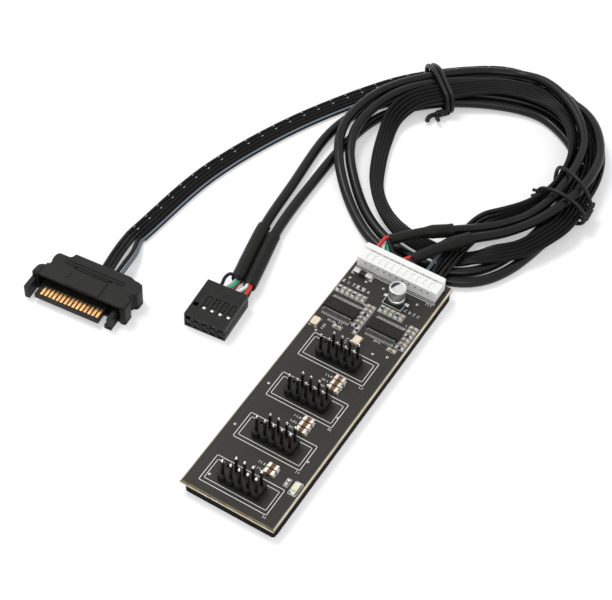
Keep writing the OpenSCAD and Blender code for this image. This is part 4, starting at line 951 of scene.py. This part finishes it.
# Pads and solder
PAD = 0.03
b = Build()
for cx in CHIP_X:
    for i in range(CHIP_LEADS):
        x = cx + (i - (CHIP_LEADS - 1) / 2) * CHIP_PITCH
        for s in (-1, 1):
            b.box(x, CHIP_Y + s * 3.5, TOP_Z, 0.3, 0.75, PAD)
            b.box(x, CHIP_Y + s * 3.45, TOP_Z + PAD, 0.28, 0.5, 0.2, top=0.7)
            b.box(x, CHIP_Y + s * 2.35, TOP_Z + 0.94, 0.3, 0.35, 0.05)
for x, y, turn in SMALL:
    for s in (-1, 1):
        dx, dy = (s * 0.86, 0) if turn == 0 else (0, s * 0.86)
        b.box(x + dx, y + dy, TOP_Z, 0.62, 0.86, 0.2, turn, top=0.62)
for x, y in PORT_CAPS:
    for s in (-1, 1):
        b.box(x + s * 1.55, y, TOP_Z, 0.95, 1.62, 0.55, top=0.55)
for s in (-1, 1):
    b.box(FUSE_X + s * 2.85, FUSE_Y, TOP_Z, 1.1, 1.9, 0.45, top=0.6)
    b.box(CAN_X + s * 3.25, CAN_Y, TOP_Z, 1.5, 1.1, 0.22, top=0.7)
    b.box(LAMP_X, LAMP_Y + s * 1.7, TOP_Z, 1.5, 0.75, 0.3, top=0.6)
    for x, y in CRYSTALS:
        for t in (-1, 1):
            b.box(x + t * 0.85, y + s * 1.35, TOP_Z, 0.95, 0.85, 0.16, top=0.75)
b.object("solder_joints", [M["solder"]], smooth=False, bevel=0.05)

# Vias and traces
VIAS = ((-7.6, 36.3), (-12.2, 35.2), (8.6, 36.9), (-2.2, 36.8), (10.8, 16.1), (-10.5, 13.7),
    (6.9, 14.9), (9.9, -8.7), (-11.6, -8.9), (-11.9, -25.1), (10.6, -25.0), (-8.8, -41.9))
TRACES = [[(-12.2, 35.2), (-12.2, 32.1), (-13.1, 31.2), (-13.1, 12.5), (-12.2, 11.6), (-12.2, -44)],
    [(-7.6, 36.3), (-3.4, 36.3), (-0.4, 33.3), (-0.4, 31.6)],
    [(12.9, 18.5), (12.9, 2.2), (12.2, 1.5), (12.2, -31)],
    [(-5.2, 20), (-5.2, 17.1), (-3.2, 15.1), (-3.2, 13.1)],
    [(4.6, 20), (4.6, 17.1), (5.2, 16.5), (5.2, 13.1)],
    [(-11.2, 11.6), (-11.2, -6.5), (-10.6, -7.1)], [(11.2, 2.2), (11.2, -13.6), (10.7, -14.2)]]
b = Build()
for x, y in VIAS:
    b.lathe([(0.16, 0), (0.18, 0.03), (0.34, 0.03), (0.38, 0)], (x, y, TOP_Z), 16)
b.object("board_vias", [M["tin"]])
b = Build()
for line in TRACES:
    for (x0, y0), (x1, y1) in zip(line, line[1:]):
        b.line(x0, y0, x1, y1, 0.28, 0.012)
b.object("board_traces", [M["trace"]], smooth=False)

# Chip parts
b = Build()
for i, (x, y, turn) in enumerate(SMALL):
    kind = 1 if i % 3 == 0 else 0
    height = 0.4 if kind else 0.46
    b.box(x, y, TOP_Z, 0.92, 0.76, height, turn, mat=kind)
    for s in (-1, 1):
        dx, dy = (s * 0.625, 0) if turn == 0 else (0, s * 0.625)
        b.box(x + dx, y + dy, TOP_Z, 0.35, 0.8, height + 0.04, turn, mat=2)
b.object("small_parts", [M["beige"], M["resistor"], M["solder"]], bevel=0.05,
    replaces=["small_chips", "small_chip_ends"])
b = Build()
for x, y in PORT_CAPS:
    b.box(x, y, TOP_Z, 1.3, 1.56, 1.27, mat=0)
    for s in (-1, 1):
        b.box(x + s * 1.04, y, TOP_Z, 0.92, 1.6, 1.3, mat=1)
b.object("port_capacitor_set", [M["cap_body"], M["cap_end"]], bevel=0.1, segments=3,
    replaces=["port_capacitors", "port_capacitor_ends"])

# Can: a rolled groove, a rim round the flat top, and the dark segment on it
CAN_PROFILE = [(2.3, 0), (2.46, 0.05), (2.5, 0.15), (2.5, 0.6), (2.44, 0.78), (2.2, 0.95),
    (2.15, 1.05), (2.2, 1.15), (2.44, 1.32), (2.5, 1.5), (2.5, 4.4), (2.46, 4.6), (2.36, 4.74),
    (2.2, 4.8), (2.05, 4.78), (1.98, 4.72), (1.2, 4.71), (0.001, 4.71)]
SEGMENT_R, SEGMENT_Z, SEGMENT_TURN = 1.95, TOP_Z + 5.4, math.radians(158)
b = Build()
b.lathe(CAN_PROFILE, (CAN_X, CAN_Y, TOP_Z + 0.7), 72)
b.object("can_body", [M["can"]], angle=35, replaces=["can_capacitor"])
b = Build()
segment = [(SEGMENT_R * math.cos(math.radians(a)), SEGMENT_R * math.sin(math.radians(a)))
    for a in range(-66, 67, 6)]
b.prism(segment, SEGMENT_Z, SEGMENT_Z + 0.025,
    Matrix.Translation((CAN_X, CAN_Y, 0)) @ Matrix.Rotation(SEGMENT_TURN, 4, "Z"))
b.object("can_segment", [M["can_mark"]], smooth=False)

# Floors of the wafer's slots
b = Build()
for x in WIRE_X:
    b.box(x, 42.1, TOP_Z + 3.35, 0.99, 2.39, 0.29)
b.object("wafer_slot_floors", [M["nylon"]], smooth=False)


# Light, floor and background
def seen_directly(tree):
    ray = tree.nodes.new("ShaderNodeLightPath")
    total = maths(tree, "ADD", ray.outputs["Is Camera Ray"], ray.outputs["Is Glossy Ray"], True)
    return maths(tree, "ADD", total, ray.outputs["Is Transmission Ray"], True)


def add_floor():
    mat = bpy.data.materials.new("studio_floor")
    mat.use_nodes = True
    tree = mat.node_tree
    tree.nodes.clear()
    out = tree.nodes.new("ShaderNodeOutputMaterial")
    plain = tree.nodes.new("ShaderNodeBsdfDiffuse")
    put(plain, {"Color": (0.86, 0.86, 0.86, 1)})
    shown = tree.nodes.new("ShaderNodeBsdfDiffuse")
    put(shown, {"Color": (0.72, 0.72, 0.73, 1)})
    lift = tree.nodes.new("ShaderNodeEmission")
    put(lift, {"Strength": 0.34})
    both, choose = tree.nodes.new("ShaderNodeAddShader"), tree.nodes.new("ShaderNodeMixShader")
    tree.links.new(shown.outputs[0], both.inputs[0])
    tree.links.new(lift.outputs[0], both.inputs[1])
    tree.links.new(seen_directly(tree), choose.inputs[0])
    tree.links.new(plain.outputs[0], choose.inputs[1])
    tree.links.new(both.outputs[0], choose.inputs[2])
    tree.links.new(choose.outputs[0], out.inputs["Surface"])
    mesh = bpy.data.meshes.new("studio_floor")
    reach, z = 3.0, -0.00002
    mesh.from_pydata([(-reach, -reach, z), (reach, -reach, z), (reach, reach, z), (-reach, reach, z)], [],
        [(0, 1, 2, 3)])
    mesh.materials.append(mat)
    floor = bpy.data.objects.new("studio_floor", mesh)
    bpy.context.scene.collection.objects.link(floor)


def add_world():
    world = bpy.data.worlds.new("studio")
    bpy.context.scene.world = world
    world.use_nodes = True
    tree = world.node_tree
    tree.nodes.clear()
    out = tree.nodes.new("ShaderNodeOutputWorld")
    light, seen = tree.nodes.new("ShaderNodeBackground"), tree.nodes.new("ShaderNodeBackground")
    put(light, {"Strength": 0.58, "Color": (1, 1, 1, 1)})
    put(seen, {"Color": (1, 1, 1, 1)})
    choose = tree.nodes.new("ShaderNodeMixShader")
    tree.links.new(seen_directly(tree), choose.inputs[0])
    tree.links.new(light.outputs[0], choose.inputs[1])
    tree.links.new(seen.outputs[0], choose.inputs[2])
    tree.links.new(choose.outputs[0], out.inputs["Surface"])


def add_lamp(name, at, size, energy):
    data = bpy.data.lights.new(name, "AREA")
    data.shape, data.size, data.energy = "SQUARE", size, energy
    lamp = bpy.data.objects.new(name, data)
    lamp.location = at
    aim = CAMERA_TARGET * MM - Vector(at)
    lamp.rotation_euler = aim.to_track_quat("-Z", "Y").to_euler()
    bpy.context.scene.collection.objects.link(lamp)


add_floor()
add_world()
add_lamp("key", (-0.52, 0.17, 0.96), 0.36, 5.0)
add_lamp("fill", (0.34, -0.5, 0.7), 0.6, 2.2)
bpy.context.scene.view_settings.view_transform = "Standard"
